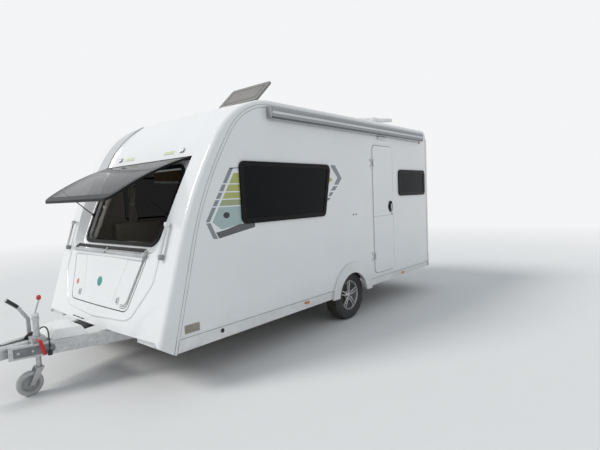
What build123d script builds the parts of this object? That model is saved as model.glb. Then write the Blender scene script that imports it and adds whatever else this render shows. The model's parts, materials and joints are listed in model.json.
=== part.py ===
from build123d import *
from math import asin, atan, atan2, cos, degrees, hypot, pi, radians, sin, tan
import os

os.makedirs("parts", exist_ok=True)

# Axes: +X forward to the coupling, +Y to the door side, +Z up, floor at z = 0.
# The origin is on the floor under the middle of the whole caravan.
# Lengths are millimetres and angles are degrees.

# Whole body
axle_x = -820
half_w = 1090
wall_t = 32
shell_t = 48
corner_r = 42
joint_gap = 6

# Heights
skirt_z = 322
floor_z = 440
floor_t = 45
floor_top = floor_z + floor_t
wall_top_z = 2432
roof_z = wall_top_z + shell_t

# Side profile: the seam between the side wall and the front panel
rear_x = axle_x - 2150
rear_top_r = 120
crown_x = axle_x + 1255
shoulder_x = axle_x + 1909
shoulder_z = 2093
knee_x = axle_x + 2331
knee_z = 1150
seam_foot_x = axle_x + 2547

# Side profile: how far the front face stands ahead of that seam
foot_wrap = 150
knee_wrap = 112
shoulder_wrap = 101

# Wheels
tyre_r = 297
wheel_z = tyre_r
tyre_w = 185
bead_r = 178
wheel_inset = 135
wheel_y = half_w - wheel_inset
stub_r = 20
stub_clear = 0.1
stub_past = 45
stub_end = wheel_y + stub_past
spokes = 5

# Wheel arch in the wall
arch_r = 300
arch_dx = 12
arch_z = 285
arch_band = 122
arch_out = 22
arch_gap = 6
box_half = 372
box_gap = 50
box_inner_y = wheel_y - tyre_w / 2 - box_gap
box_top = 690
box_t = 6

# Chassis
rail_y = 560
rail_h = 105
rail_w = 46
rail_t = 5
rail_rear = axle_x - 2050
drawbar_back = axle_x + 1900
coupling_x = axle_x + 3795
drawbar_tip = coupling_x - 400
drawbar_tip_y = 84
tube_r = 50
tube_ahead = 165
arm_t = 34
arm_gap = 18
hub_depth = 113
hub_in = wheel_y - hub_depth
tube_half = hub_in - arm_gap - arm_t

# Coupling
coupling_z = 400
ball_r = 25.25
housing_back = coupling_x - 765
housing_front = coupling_x - 325
housing_w = 92
housing_h = 96

# Door
door_front = axle_x - 517
door_rear = axle_x - 1028
door_foot = 488
door_head = 2158
door_r = 70
door_proud = 6

# Hinges of the door, the locker lid and the skylight
pin_r = 5
pin_clear = 0.2
knuckle_r = 8
hinge_out = 14
door_pin_x = door_front + 3
door_pin_y = half_w + door_proud + hinge_out
door_hinges = [door_foot + 230, door_head - 230]
knuckle_h = 44
collar_h = 22

# Plan bow of the front face: how far its middle stands ahead of its corners
front_bow = 42

# Recess of the front: a flat floor that leans back, then a curve that runs out at the crown
recess_foot_x = axle_x + 2405
recess_foot_z = 1145
recess_lean = 24.6
recess_flat = 863
recess_end_x = axle_x + 1600
recess_end_z = 2445
recess_side_flare = 45
recess_foot_flare = 30
recess_side = 46
recess_r = 124
recess_wall = 30

# Front opening in that floor: outer edge of its rim, on the floor's own plane
opening_len = 795
opening_half_foot = 700
opening_half_head = 768
opening_rim_w = 34
opening_rim_up = 12

# Hinged front pane and the locker lid below it
pane_hinge_up = 838
pane_hinge_out = 14
pane_tip_x = axle_x + 2800
pane_tip_z = 1556
pane_half_hinge = opening_half_head + 14
pane_half_tip = opening_half_foot - 14
pane_bow = 32
pane_t = 20
pane_rim = 55
pane_depth = 100
pane_tip_r = 100
pane_gap = 0.3
pane_trim = 6
lid_foot_z = 614
lid_head_z = 1085
lid_half_foot = 545
lid_half_head = 672
lid_r = 80
lid_t = 20
lid_gap = 9
lid_straight = 60
rail_r = 10
rail_out = 15
rail_up = 3
rail_half = lid_half_head - 12
lug_w = 20

# Skylight
sky_x = axle_x + 1074
sky_y = 330
sky_w = 640
sky_len = 345
sky_up = 80
sky_wall = 30
sky_lid_t = 22
sky_open = 44
sky_pin_x = sky_x + hinge_out
sky_pin_z = roof_z + sky_up + joint_gap
sky_arm = 16
sky_arm_w = 40
sky_arm_y = 230

# Jockey wheel
jockey_x = coupling_x - 610
jockey_y = 92
jockey_r = 24
jockey_bore = 20.5
jockey_top = 640
jockey_tube_foot = 300
jockey_leg_foot = 222
jockey_leg_len = 330
jockey_wheel_r = 100
jockey_wheel_w = 62
jockey_trail = 76

# Corner steadies: pivot height, arm length and section
steady_y = 700
steady_z = 352
steady_len = 430
steady_w = 60
steady_h = 34

# Awning
awning_front = axle_x + 1380
awning_rear = axle_x - 1880
awning_z = 2350
awning_h = 120
awning_depth = 74


def side_plane(sign, y_in, y_out):
    """Plane from which a sketch is extruded by y_out - y_in on the side named by sign."""
    if sign > 0:
        return Plane.XZ.offset(-y_out)
    return Plane.XZ.offset(y_in)


def side_curve(foot, knee, shoulder, top_z):
    """Draw a smooth edge: straight from foot to knee, then two arcs up to the level roof line."""
    rise = atan2(knee[1] - foot[1], knee[0] - foot[0])
    chord = atan2(shoulder[1] - knee[1], shoulder[0] - knee[0])
    lean = pi - (2 * chord - rise)
    crown = (shoulder[0] - (top_z - shoulder[1]) / tan(lean / 2), top_z)
    Line(foot, knee)
    TangentArc(knee, shoulder, tangent=(cos(rise), sin(rise)))
    TangentArc(crown, shoulder, tangent=(1, 0))
    Line(crown, (crown_x, top_z))


# Lean of the straight stretch at the foot of the seam and of the front face
face_foot_x = seam_foot_x + foot_wrap
face_knee_x = knee_x + knee_wrap
seam_slope = (seam_foot_x - knee_x) / (knee_z - skirt_z)
face_slope = (face_foot_x - face_knee_x) / (knee_z - skirt_z)


def seam_x(z):
    """Where the straight stretch of the seam is at height z."""
    return seam_foot_x - seam_slope * (z - skirt_z)


def face_x(z):
    """Where the straight stretch of the front face is at height z."""
    return face_foot_x - face_slope * (z - skirt_z)


def bow_at(y):
    """How far the bowed face stands ahead of its corners, y across from the middle."""
    return front_bow * (1 - (y / half_w) ** 2)


# Bowed pieces are turned about this upright axis, far behind, from a side view drawn at one end
bow_r = (half_w**2 + front_bow**2) / (2 * front_bow)
bow_x = face_foot_x + front_bow - bow_r
bow_half_turn = asin((half_w + 40) / (crown_x - bow_x))
bow_axis = Axis((bow_x, 0, 0), (0, 0, 1))
bow_plane = Plane(
    origin=(
        bow_x + (front_bow - bow_x) * cos(bow_half_turn),
        -(front_bow - bow_x) * sin(bow_half_turn),
        0,
    ),
    x_dir=(cos(bow_half_turn), -sin(bow_half_turn), 0),
    z_dir=(-sin(bow_half_turn), -cos(bow_half_turn), 0),
)
bow_turn = degrees(2 * bow_half_turn)

# Axis of the locker lid, a little above and in front of the lid's head
lean = atan(face_slope)
rail_x = face_x(lid_head_z) + front_bow + rail_out * cos(lean) - rail_up * sin(lean)
rail_z = lid_head_z + rail_out * sin(lean) + rail_up * cos(lean)


def front_bulk(margin):
    """Outline of everything behind the front face, carried on by a margin behind and below."""
    low_z = skirt_z - margin
    back_x = crown_x - 2 * front_bow - margin
    with BuildLine() as outline:
        side_curve(
            (face_x(low_z), low_z),
            (face_knee_x, knee_z),
            (shoulder_x + shoulder_wrap, shoulder_z),
            roof_z,
        )
        Polyline((crown_x, roof_z), (back_x, roof_z), (back_x, low_z), (face_x(low_z), low_z))
    make_face(outline.line)


def seam_bulk(margin):
    """Outline of everything behind the seam, carried on by a margin behind and below."""
    low_z = skirt_z - margin
    back_x = crown_x - 1 - margin
    with BuildLine() as outline:
        side_curve((seam_x(low_z), low_z), (knee_x, knee_z), (shoulder_x, shoulder_z), wall_top_z)
        Polyline((crown_x, wall_top_z), (back_x, wall_top_z), (back_x, low_z), (seam_x(low_z), low_z))
    make_face(outline.line)


def front_body(margin, grow, half):
    """Everything behind the bowed front face, carried on by a margin and drawn out, from -half to half."""
    with BuildPart() as body:
        with BuildSketch(bow_plane):
            front_bulk(margin)
            if grow:
                offset(amount=grow)
        revolve(axis=bow_axis, revolution_arc=bow_turn)
        with BuildSketch(Plane.XZ.offset(-half)):
            with Locations((crown_x + half_w, 0)):
                Rectangle(4 * half_w, 4 * roof_z)
        extrude(amount=2 * half, mode=Mode.INTERSECT)
    return body.part


def bowed(half, outline):
    """A bar bowed like the face, its side view an outline of points, from -half to half across."""
    with BuildPart() as body:
        with BuildSketch(bow_plane):
            Polygon(*outline, align=None)
        revolve(axis=bow_axis, revolution_arc=bow_turn)
        with BuildSketch(Plane.XZ.offset(-half)):
            with Locations((crown_x + half_w, 0)):
                Rectangle(4 * half_w, 4 * roof_z)
        extrude(amount=2 * half, mode=Mode.INTERSECT)
    return body.part


def recess_plane(out):
    """The recess floor's plane, stood off by out: x runs across and y up the slope."""
    return Plane(
        origin=(
            recess_foot_x + out * cos(radians(recess_lean)),
            0,
            recess_foot_z + out * sin(radians(recess_lean)),
        ),
        x_dir=(0, 1, 0),
        z_dir=(cos(radians(recess_lean)), 0, sin(radians(recess_lean))),
    )


def recess_point(up, out):
    """A point of the side view, given up along the recess's floor from its foot and out from it."""
    across = out * cos(radians(recess_lean)) - up * sin(radians(recess_lean))
    rise = out * sin(radians(recess_lean)) + up * cos(radians(recess_lean))
    return (recess_foot_x + across, recess_foot_z + rise)


def opening_outline(margin):
    """The outer edge of the opening's rim, drawn out by a margin."""
    Polygon(
        (-opening_half_foot - margin, -margin),
        (opening_half_foot + margin, -margin),
        (opening_half_head + margin, opening_len + margin),
        (-opening_half_head - margin, opening_len + margin),
        align=None,
    )
    fillet(vertices(), radius=recess_r + margin)


def recess_block(wall):
    """Everything ahead of the recess's floor and between its flared sides, with a wall added all round."""
    base = recess_plane(0)
    far = 2 * half_w
    foot = recess_point(-recess_side, 0)
    lip = recess_point(-recess_side - far * tan(radians(recess_foot_flare)), far)
    widen = (opening_half_head - opening_half_foot) / opening_len
    floor_half = opening_half_foot + recess_side + wall
    with BuildPart() as block:
        with BuildSketch(Plane.XZ.offset(-far)):
            with BuildLine() as outline:
                flat_end = recess_point(recess_flat, 0)
                Line(foot, flat_end)
                TangentArc(
                    flat_end,
                    (recess_end_x, recess_end_z),
                    tangent=(-sin(radians(recess_lean)), cos(radians(recess_lean))),
                )
                Polyline(
                    (recess_end_x, recess_end_z),
                    (recess_end_x, roof_z + far),
                    (lip[0], roof_z + far),
                    lip,
                    foot,
                )
            make_face(outline.line)
            if wall:
                offset(amount=wall, kind=Kind.INTERSECTION)
        extrude(amount=2 * far)
        for sign in (1, -1):
            split(
                bisect_by=Plane(
                    origin=base.origin + Vector(0, sign * floor_half, 0),
                    z_dir=Vector(0, sign, 0)
                    - base.y_dir * widen
                    - base.z_dir * tan(radians(recess_side_flare)),
                ),
                keep=Keep.BOTTOM,
            )
        corners = block.edges().filter_by(
            lambda e: e.center().Z < recess_foot_z + half_w / 2
            and abs((e @ 1 - e @ 0).dot(base.z_dir)) > half_w
        )
        fillet(corners, radius=recess_r)
    return block.part


def lid_outline(margin):
    """The locker lid, straight at its head and tapered below, drawn out by a margin."""
    Polygon(
        (-lid_half_foot, lid_foot_z),
        (lid_half_foot, lid_foot_z),
        (lid_half_head, lid_head_z - lid_straight),
        (lid_half_head, lid_head_z),
        (-lid_half_head, lid_head_z),
        (-lid_half_head, lid_head_z - lid_straight),
        align=None,
    )
    fillet(vertices().group_by(Axis.Y)[0], radius=lid_r)
    if margin:
        offset(amount=margin, kind=Kind.INTERSECTION)


# Front panel: one bowed shell whose sides wrap back to the seam, with the opening in a recess
front_depth = half_w - 200
hem_half = half_w - 70
hem_corner_z = 404
outer_body = front_body(0, 0, half_w)
hollow_body = front_body(2 * shell_t, -shell_t, half_w - wall_t)
face_body = front_body(3 * shell_t, 0, half_w + shell_t)
recess_boss = recess_block(recess_wall)
recess_hollow = recess_block(0)
with BuildPart() as recess_body:
    add(recess_boss)
    add(outer_body, mode=Mode.INTERSECT)
with BuildPart() as front_panel:
    add(outer_body)
    side_edges = front_panel.edges().filter_by(lambda e: abs(abs(e.center().Y) - half_w) < 1)
    face_edges = side_edges.filter_by(
        lambda e: e.center().X > crown_x - front_bow and e.center().Z > skirt_z + 1
    )
    fillet(face_edges, radius=corner_r)
    split(bisect_by=Plane.YZ.offset(crown_x), keep=Keep.TOP)
    with BuildSketch(Plane.XZ.offset(-half_w - 1)):
        seam_bulk(20)
    extrude(amount=2 * half_w + 2, mode=Mode.SUBTRACT)
    add(hollow_body, mode=Mode.SUBTRACT)
    add(recess_body)
    add(recess_hollow, mode=Mode.SUBTRACT)
    with BuildSketch(recess_plane(-2 * recess_wall)):
        opening_outline(-opening_rim_w)
    extrude(amount=4 * recess_wall, mode=Mode.SUBTRACT)
    with BuildSketch(Plane.YZ.offset(crown_x)):
        Polygon(
            (-hem_half, floor_z),
            (hem_half, floor_z),
            (half_w - wall_t, hem_corner_z),
            (half_w - wall_t, skirt_z - 1),
            (wall_t - half_w, skirt_z - 1),
            (wall_t - half_w, hem_corner_z),
            align=None,
        )
    extrude(amount=2 * front_depth, mode=Mode.SUBTRACT)
    with BuildSketch(Plane.XZ.offset(-half_w - 1)):
        hem_ahead = face_x(skirt_z) + 2 * front_bow
        Polygon(
            (seam_foot_x - 1, skirt_z),
            (face_x(hem_corner_z), hem_corner_z),
            (hem_ahead, hem_corner_z),
            (hem_ahead, skirt_z - 1),
            (seam_foot_x - 1, skirt_z - 1),
            align=None,
        )
    extrude(amount=2 * half_w + 2, mode=Mode.SUBTRACT)
    with BuildSketch(Plane.YZ.offset(crown_x)):
        lid_outline(lid_gap)
    extrude(amount=2 * front_depth, mode=Mode.SUBTRACT)
front_panel.part.label = "front_panel"
export_step(front_panel.part, "parts/front_panel.step")

# Chord of the hinged pane in the side view: its ends, its length and how it leans
pane_hinge_x, pane_hinge_z = recess_point(pane_hinge_up, pane_hinge_out)
pane_run = pane_tip_x - pane_hinge_x
pane_fall = pane_hinge_z - pane_tip_z
pane_chord = hypot(pane_run, pane_fall)


def pane_point(along, up):
    """A point of the side view, given along the pane's chord from its hinge and up from it."""
    across = along * pane_run / pane_chord + up * pane_fall / pane_chord
    rise = up * pane_run / pane_chord - along * pane_fall / pane_chord
    return (pane_hinge_x + across, pane_hinge_z + rise)


# Black rim around the front opening, and the strip above it that holds the pane
strip_up = 3
strip_low = 6
strip_h = 60
with BuildPart() as opening_rim:
    with BuildSketch(Plane.XZ.offset(-pane_half_hinge)):
        Polygon(
            pane_point(-pane_gap, -strip_low),
            pane_point(-pane_gap, pane_t + strip_up),
            recess_point(pane_hinge_up + strip_h, -recess_wall),
            recess_point(pane_hinge_up - strip_low, -recess_wall),
            align=None,
        )
    extrude(amount=2 * pane_half_hinge)
    add(recess_hollow, mode=Mode.INTERSECT)
    with BuildSketch(recess_plane(0)):
        opening_outline(0)
    extrude(amount=opening_rim_up)
    with BuildSketch(recess_plane(0)):
        opening_outline(-opening_rim_w)
    extrude(amount=opening_rim_up, mode=Mode.SUBTRACT)
opening_rim.part.label = "opening_rim"
export_step(opening_rim.part, "parts/opening_rim.step")

# Locker lid: a slice of the same face, hinged along its head
with BuildPart() as front_lid:
    add(
        bowed(
            half_w,
            [
                (face_x(lid_foot_z - 50), lid_foot_z - 50),
                (face_x(lid_head_z + 50), lid_head_z + 50),
                (face_x(lid_head_z + 50) - lid_t, lid_head_z + 50),
                (face_x(lid_foot_z - 50) - lid_t, lid_foot_z - 50),
            ],
        )
    )
    with BuildSketch(Plane.YZ.offset(crown_x)):
        lid_outline(0)
    extrude(amount=2 * front_depth, mode=Mode.INTERSECT)
front_lid.part.label = "front_lid"
export_step(front_lid.part, "parts/front_lid.step")


def face_point(out, up):
    """A point of the side view, given out from the front face and up along it from the lid's head."""
    across = out * cos(lean) - up * sin(lean)
    rise = out * sin(lean) + up * cos(lean)
    return (face_x(lid_head_z) + front_bow + across, lid_head_z + rise)


# Lid rail: two sleeves along the lid's head, on flanges that reach down to the bowed lid
flange_t = 4
flange_h = 32
flange_deep = front_bow * ((rail_half + 2 * lug_w) / half_w) ** 2 + 2
with BuildPart() as lid_rail:
    for y_low, y_high in ((-rail_half, -lug_w / 2 - joint_gap), (lug_w / 2 + joint_gap, rail_half)):
        with BuildSketch(Plane.XZ.offset(-y_high)):
            with Locations((rail_x, rail_z)):
                Circle(rail_r)
            with Locations(face_point((flange_t - flange_deep) / 2, -26)):
                Rectangle(flange_t + flange_deep, flange_h, rotation=degrees(lean))
            make_hull()
            with Locations((rail_x, rail_z)):
                Circle(pin_r + pin_clear, mode=Mode.SUBTRACT)
        extrude(amount=y_high - y_low)
    add(face_body, mode=Mode.SUBTRACT)
lid_rail.part.label = "lid_rail"
export_step(lid_rail.part, "parts/lid_rail.step")

# Lid locks: two oval turn-locks near the lid's foot
lock_z = lid_foot_z + 73
lock_y = 376
lock_out = 10
lock_in = 3
with BuildPart() as lid_locks:
    with BuildSketch(
        Plane(
            origin=(face_x(lock_z) + bow_at(lock_y) - lock_in, 0, lock_z),
            x_dir=(0, 1, 0),
            z_dir=(1, 0, face_slope),
        )
    ):
        with Locations((-lock_y, 0), (lock_y, 0)):
            SlotOverall(68, 32, rotation=90)
    extrude(amount=lock_in + lock_out)
    add(face_body, mode=Mode.SUBTRACT)
lid_locks.part.label = "lid_locks"
export_step(lid_locks.part, "parts/lid_locks.step")

# Grab handles: the side view of a front one (ahead of the axle, height), then a plain rear one
grab_w = 24
grab_y = half_w - 185
grab_x = axle_x + bow_at(grab_y)
front_grab = [
    (2430, 1064),
    (2488, 1078),
    (2502, 1096),
    (2424, 1346),
    (2406, 1362),
    (2330, 1350),
    (2334, 1336),
    (2400, 1345),
    (2410, 1338),
    (2485, 1101),
    (2478, 1092),
    (2426, 1079),
]
rear_grab_foot = 1000
rear_grab_head = 1250
rear_grab_out = 46
grab_t = 13
with BuildPart() as grab_handles:
    for sign in (1, -1):
        with BuildSketch(Plane.XZ.offset(-sign * grab_y - grab_w / 2)):
            Polygon(*[(grab_x + ahead, height) for ahead, height in front_grab], align=None)
        extrude(amount=grab_w)
    add(face_body, mode=Mode.SUBTRACT)
    for sign in (1, -1):
        with BuildSketch(Plane.XZ.offset(-sign * grab_y - grab_w / 2)):
            with Locations((rear_x - rear_grab_out / 2, (rear_grab_foot + rear_grab_head) / 2)):
                Rectangle(rear_grab_out, rear_grab_head - rear_grab_foot)
            with Locations((rear_x - rear_grab_out / 2 + grab_t, (rear_grab_foot + rear_grab_head) / 2)):
                Rectangle(rear_grab_out, rear_grab_head - rear_grab_foot - 2 * grab_t, mode=Mode.SUBTRACT)
        extrude(amount=grab_w)
grab_handles.part.label = "grab_handles"
export_step(grab_handles.part, "parts/grab_handles.step")

# Front lamps: two markers on the curved face, then two lamp pods under the hem
marker_y = 580
marker_z = 2010
marker_up = 14
pod_w = 270
pod_h = 44
pod_len = 94
pod_y = half_w - 210
with BuildPart() as front_lamps:
    with BuildSketch(Plane.YZ.offset(crown_x)):
        with Locations((-marker_y, marker_z), (marker_y, marker_z)):
            RectangleRounded(66, 32, 12)
    extrude(amount=2 * front_depth)
    add(recess_hollow, mode=Mode.INTERSECT)
    add(recess_block(-marker_up), mode=Mode.SUBTRACT)
    with BuildSketch(Plane.YZ.offset(face_x(floor_z) + bow_at(pod_y + pod_w / 2) - pod_len - 6)):
        with Locations((-pod_y, floor_z - pod_h / 2), (pod_y, floor_z - pod_h / 2)):
            Rectangle(pod_w, pod_h)
    extrude(amount=pod_len)
front_lamps.part.label = "front_lamps"
export_step(front_lamps.part, "parts/front_lamps.step")

# Side windows: side, rear top, rear foot, front foot, front top (from the axle), foot z, head z
side_windows = [
    (1, 410, 530, 1770, 1780, 1305, 1880),
    (1, -2030, -2030, -1200, -1200, 1490, 1860),
    (-1, 410, 530, 1770, 1780, 1305, 1880),
    (-1, -1300, -1300, -500, -500, 1400, 1860),
]
window_r = 60
window_rim = 46
rim_proud = 18
glass_t = 8


def window_face(window, inset):
    """One side window's outline, drawn inset from its outer edge."""
    side, rear_top, rear_foot, front_foot, front_top, foot_z, head_z = window
    Polygon(
        (axle_x + rear_top, head_z),
        (axle_x + rear_foot, foot_z),
        (axle_x + front_foot, foot_z),
        (axle_x + front_top, head_z),
        align=None,
    )
    fillet(vertices(), radius=window_r)
    if inset:
        offset(amount=-inset)


def side_wall(sign):
    """One flat side wall with its windows and its wheel arch cut."""
    with BuildPart() as wall:
        with BuildSketch(side_plane(sign, half_w - wall_t, half_w)):
            with BuildLine():
                bend = rear_top_r - shell_t
                rear_in = rear_x + shell_t
                side_curve((seam_x(floor_z), floor_z), (knee_x, knee_z), (shoulder_x, shoulder_z), wall_top_z)
                Line((crown_x, wall_top_z), (rear_in + bend, wall_top_z))
                RadiusArc((rear_in, wall_top_z - bend), (rear_in + bend, wall_top_z), bend)
                Polyline((rear_in, wall_top_z - bend), (rear_in, floor_z), (seam_x(floor_z), floor_z))
            make_face()
        extrude(amount=wall_t)
        for window in side_windows:
            if window[0] == sign:
                with BuildSketch(side_plane(sign, half_w - wall_t, half_w)):
                    window_face(window, window_rim / 2)
                extrude(amount=wall_t, mode=Mode.SUBTRACT)
        with BuildSketch(side_plane(sign, half_w - wall_t, half_w)):
            with Locations((axle_x + arch_dx, arch_z)):
                Circle(arch_r + arch_gap)
        extrude(amount=wall_t, mode=Mode.SUBTRACT)
        if sign > 0:
            with BuildSketch(side_plane(sign, half_w - wall_t, half_w)):
                with Locations(((door_front + door_rear) / 2, (door_foot + door_head) / 2)):
                    width = door_front - door_rear + 2 * joint_gap
                    height = door_head - door_foot + 2 * joint_gap
                    RectangleRounded(width, height, door_r + joint_gap)
            extrude(amount=wall_t, mode=Mode.SUBTRACT)
    return wall.part


for name, sign in (("wall_left", 1), ("wall_right", -1)):
    wall = side_wall(sign)
    wall.label = name
    export_step(wall, f"parts/{name}.step")

# Window rims and tinted panes, on both sides
with BuildPart() as window_rims:
    for window in side_windows:
        with BuildSketch(side_plane(window[0], half_w, half_w + rim_proud)):
            window_face(window, 0)
        extrude(amount=rim_proud)
        with BuildSketch(side_plane(window[0], half_w, half_w + rim_proud)):
            window_face(window, window_rim)
        extrude(amount=rim_proud, mode=Mode.SUBTRACT)
window_rims.part.label = "window_rims"
export_step(window_rims.part, "parts/window_rims.step")

with BuildPart() as window_panes:
    for window in side_windows:
        with BuildSketch(side_plane(window[0], half_w + 4, half_w + 4 + glass_t)):
            window_face(window, window_rim)
        extrude(amount=glass_t)
window_panes.part.label = "window_panes"
export_step(window_panes.part, "parts/window_panes.step")

# Door with its two hinge sleeves, and its handle
door_in = half_w - wall_t + door_proud
leaf_t = 4
leaf_len = 52
with BuildPart() as door:
    with BuildSketch(side_plane(1, door_in, half_w + door_proud)):
        with Locations(((door_front + door_rear) / 2, (door_foot + door_head) / 2)):
            RectangleRounded(door_front - door_rear, door_head - door_foot, door_r)
    extrude(amount=wall_t)
    for height in door_hinges:
        with BuildSketch(Plane.XY.offset(height - knuckle_h / 2)):
            with Locations((door_pin_x, door_pin_y)):
                Circle(knuckle_r)
            with Locations((door_front - leaf_t - leaf_len / 2, half_w + door_proud + leaf_t / 2)):
                Rectangle(leaf_len, leaf_t)
            make_hull()
        extrude(amount=knuckle_h)
        with BuildSketch(Plane.XY.offset(height - knuckle_h / 2)):
            with Locations((door_pin_x, door_pin_y)):
                Circle(pin_r + pin_clear)
        extrude(amount=knuckle_h, mode=Mode.SUBTRACT)
door.part.label = "door"
export_step(door.part, "parts/door.step")

handle_x = door_rear + 78
handle_z = 1352
with BuildPart() as door_handle:
    with BuildSketch(side_plane(1, half_w + door_proud, half_w + door_proud + 16)):
        with Locations((handle_x, handle_z)):
            SlotOverall(150, 62, rotation=90)
    extrude(amount=16)
door_handle.part.label = "door_handle"
export_step(door_handle.part, "parts/door_handle.step")

# Rear panel: its top bends forward to meet the roof
with BuildPart() as rear_panel:
    with BuildSketch(Plane.XZ.offset(-half_w)):
        with BuildLine():
            bend_in = rear_top_r - shell_t
            Line((rear_x, floor_z), (rear_x, roof_z - rear_top_r))
            RadiusArc((rear_x, roof_z - rear_top_r), (rear_x + rear_top_r, roof_z), rear_top_r)
            Line((rear_x + rear_top_r, roof_z), (rear_x + rear_top_r, wall_top_z))
            RadiusArc((rear_x + shell_t, wall_top_z - bend_in), (rear_x + rear_top_r, wall_top_z), bend_in)
            Polyline((rear_x + shell_t, wall_top_z - bend_in), (rear_x + shell_t, floor_z), (rear_x, floor_z))
        make_face()
    extrude(amount=2 * half_w)
    rear_edges = rear_panel.edges().filter_by(lambda e: abs(abs(e.center().Y) - half_w) < 1)
    outer_edges = rear_edges.filter_by(
        lambda e: e.center().X < rear_x + 1
        or (e.geom_type == GeomType.CIRCLE and abs(e.radius - rear_top_r) < 1)
    )
    fillet(outer_edges, radius=corner_r)
rear_panel.part.label = "rear_panel"
export_step(rear_panel.part, "parts/rear_panel.step")

# Roof
with BuildPart() as roof:
    with BuildSketch(Plane.YZ.offset(rear_x + rear_top_r)):
        with Locations((0, wall_top_z + shell_t / 2)):
            Rectangle(2 * half_w, shell_t)
        fillet(vertices().group_by(Axis.Y)[-1], radius=corner_r)
    extrude(amount=crown_x - rear_x - rear_top_r)
    with BuildSketch(Plane.XY.offset(wall_top_z)):
        with Locations((sky_x - sky_len / 2, sky_y)):
            Rectangle(sky_len - 2 * sky_wall, sky_w - 2 * sky_wall)
    extrude(amount=shell_t, mode=Mode.SUBTRACT)
roof.part.label = "roof"
export_step(roof.part, "parts/roof.step")

# Skylight frame and lid: the lid is hinged ahead of its front edge and stands open
with BuildPart() as sky_frame:
    with BuildSketch(Plane.XY.offset(roof_z)):
        with Locations((sky_x - sky_len / 2, sky_y)):
            Rectangle(sky_len, sky_w)
            Rectangle(sky_len - 2 * sky_wall, sky_w - 2 * sky_wall, mode=Mode.SUBTRACT)
    extrude(amount=sky_up)
sky_frame.part.label = "sky_frame"
export_step(sky_frame.part, "parts/sky_frame.step")

lid_plane = Plane(
    origin=(sky_pin_x, sky_y, sky_pin_z),
    x_dir=(-cos(radians(sky_open)), 0, sin(radians(sky_open))),
    z_dir=(sin(radians(sky_open)), 0, cos(radians(sky_open))),
)
with BuildPart() as sky_lid:
    with BuildSketch(lid_plane):
        with Locations((sky_arm + sky_len / 2, 0)):
            Rectangle(sky_len, sky_w)
        chamfer(vertices(), length=20)
    extrude(amount=sky_lid_t)
    with BuildSketch(lid_plane):
        with Locations((sky_arm, -sky_arm_y), (sky_arm, sky_arm_y)):
            Rectangle(2 * sky_arm, sky_arm_w)
    extrude(amount=knuckle_r)
    for side in (-1, 1):
        arm_low = sky_y + side * sky_arm_y - sky_arm_w / 2
        with BuildSketch(Plane.XZ.offset(-arm_low - sky_arm_w)):
            with Locations((sky_pin_x, sky_pin_z)):
                Circle(knuckle_r)
        extrude(amount=sky_arm_w)
        with BuildSketch(Plane.XZ.offset(-arm_low - sky_arm_w)):
            with Locations((sky_pin_x, sky_pin_z)):
                Circle(pin_r + pin_clear)
        extrude(amount=sky_arm_w, mode=Mode.SUBTRACT)
sky_lid.part.label = "sky_lid"
export_step(sky_lid.part, "parts/sky_lid.step")

# Fixed halves of the hinges: door collars, lid lugs on one long rod, skylight lugs
sky_lug_h = 45
with BuildPart() as hinge_brackets:
    for height in door_hinges:
        for toward in (-1, 1):
            collar_mid = height + toward * (knuckle_h / 2 + joint_gap + collar_h / 2)
            with BuildSketch(Plane.XY.offset(collar_mid - collar_h / 2)):
                with Locations((door_pin_x, door_pin_y)):
                    RegularPolygon(knuckle_r, 6)
                with Locations((door_front + joint_gap + knuckle_r + leaf_len / 2, half_w + leaf_t / 2)):
                    Rectangle(leaf_len, leaf_t)
                make_hull()
            extrude(amount=collar_h)
        with BuildSketch(Plane.XY.offset(height - knuckle_h / 2 - joint_gap - collar_h)):
            with Locations((door_pin_x, door_pin_y)):
                Circle(pin_r)
        extrude(amount=knuckle_h + 2 * joint_gap + 2 * collar_h)
    for lug_y in (-rail_half - joint_gap - lug_w / 2, 0, rail_half + joint_gap + lug_w / 2):
        with BuildSketch(Plane.XZ.offset(-lug_y - lug_w / 2)):
            with Locations((rail_x, rail_z)):
                RegularPolygon(rail_r, 6)
            with Locations(face_point((flange_t - flange_deep) / 2, 32)):
                Rectangle(flange_t + flange_deep, flange_h, rotation=degrees(lean))
            make_hull()
        extrude(amount=lug_w)
    add(face_body, mode=Mode.SUBTRACT)
    rod_half = rail_half + joint_gap + lug_w
    with BuildSketch(Plane.XZ.offset(-rod_half)):
        with Locations((rail_x, rail_z)):
            Circle(pin_r)
    extrude(amount=2 * rod_half)
    for side in (-1, 1):
        arm_out = sky_arm_y + sky_arm_w / 2
        lug_mid = sky_y + side * (arm_out + joint_gap + lug_w / 2)
        with BuildSketch(Plane.XZ.offset(-lug_mid - lug_w / 2)):
            with Locations((sky_pin_x, sky_pin_z)):
                RegularPolygon(knuckle_r, 6)
            with Locations((sky_x + flange_t / 2, roof_z + sky_lug_h / 2 + 12)):
                Rectangle(flange_t, sky_lug_h)
            make_hull()
        extrude(amount=lug_w)
        pin_mid = sky_y + side * (sky_arm_y + (joint_gap + lug_w) / 2)
        pin_len = sky_arm_w + joint_gap + lug_w
        with BuildSketch(Plane.XZ.offset(-pin_mid - pin_len / 2)):
            with Locations((sky_pin_x, sky_pin_z)):
                Circle(pin_r)
        extrude(amount=pin_len)
hinge_brackets.part.label = "hinge_brackets"
export_step(hinge_brackets.part, "parts/hinge_brackets.step")

# Hinged front pane: a bowed, tapered sheet, with a dark rim around it


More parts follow.
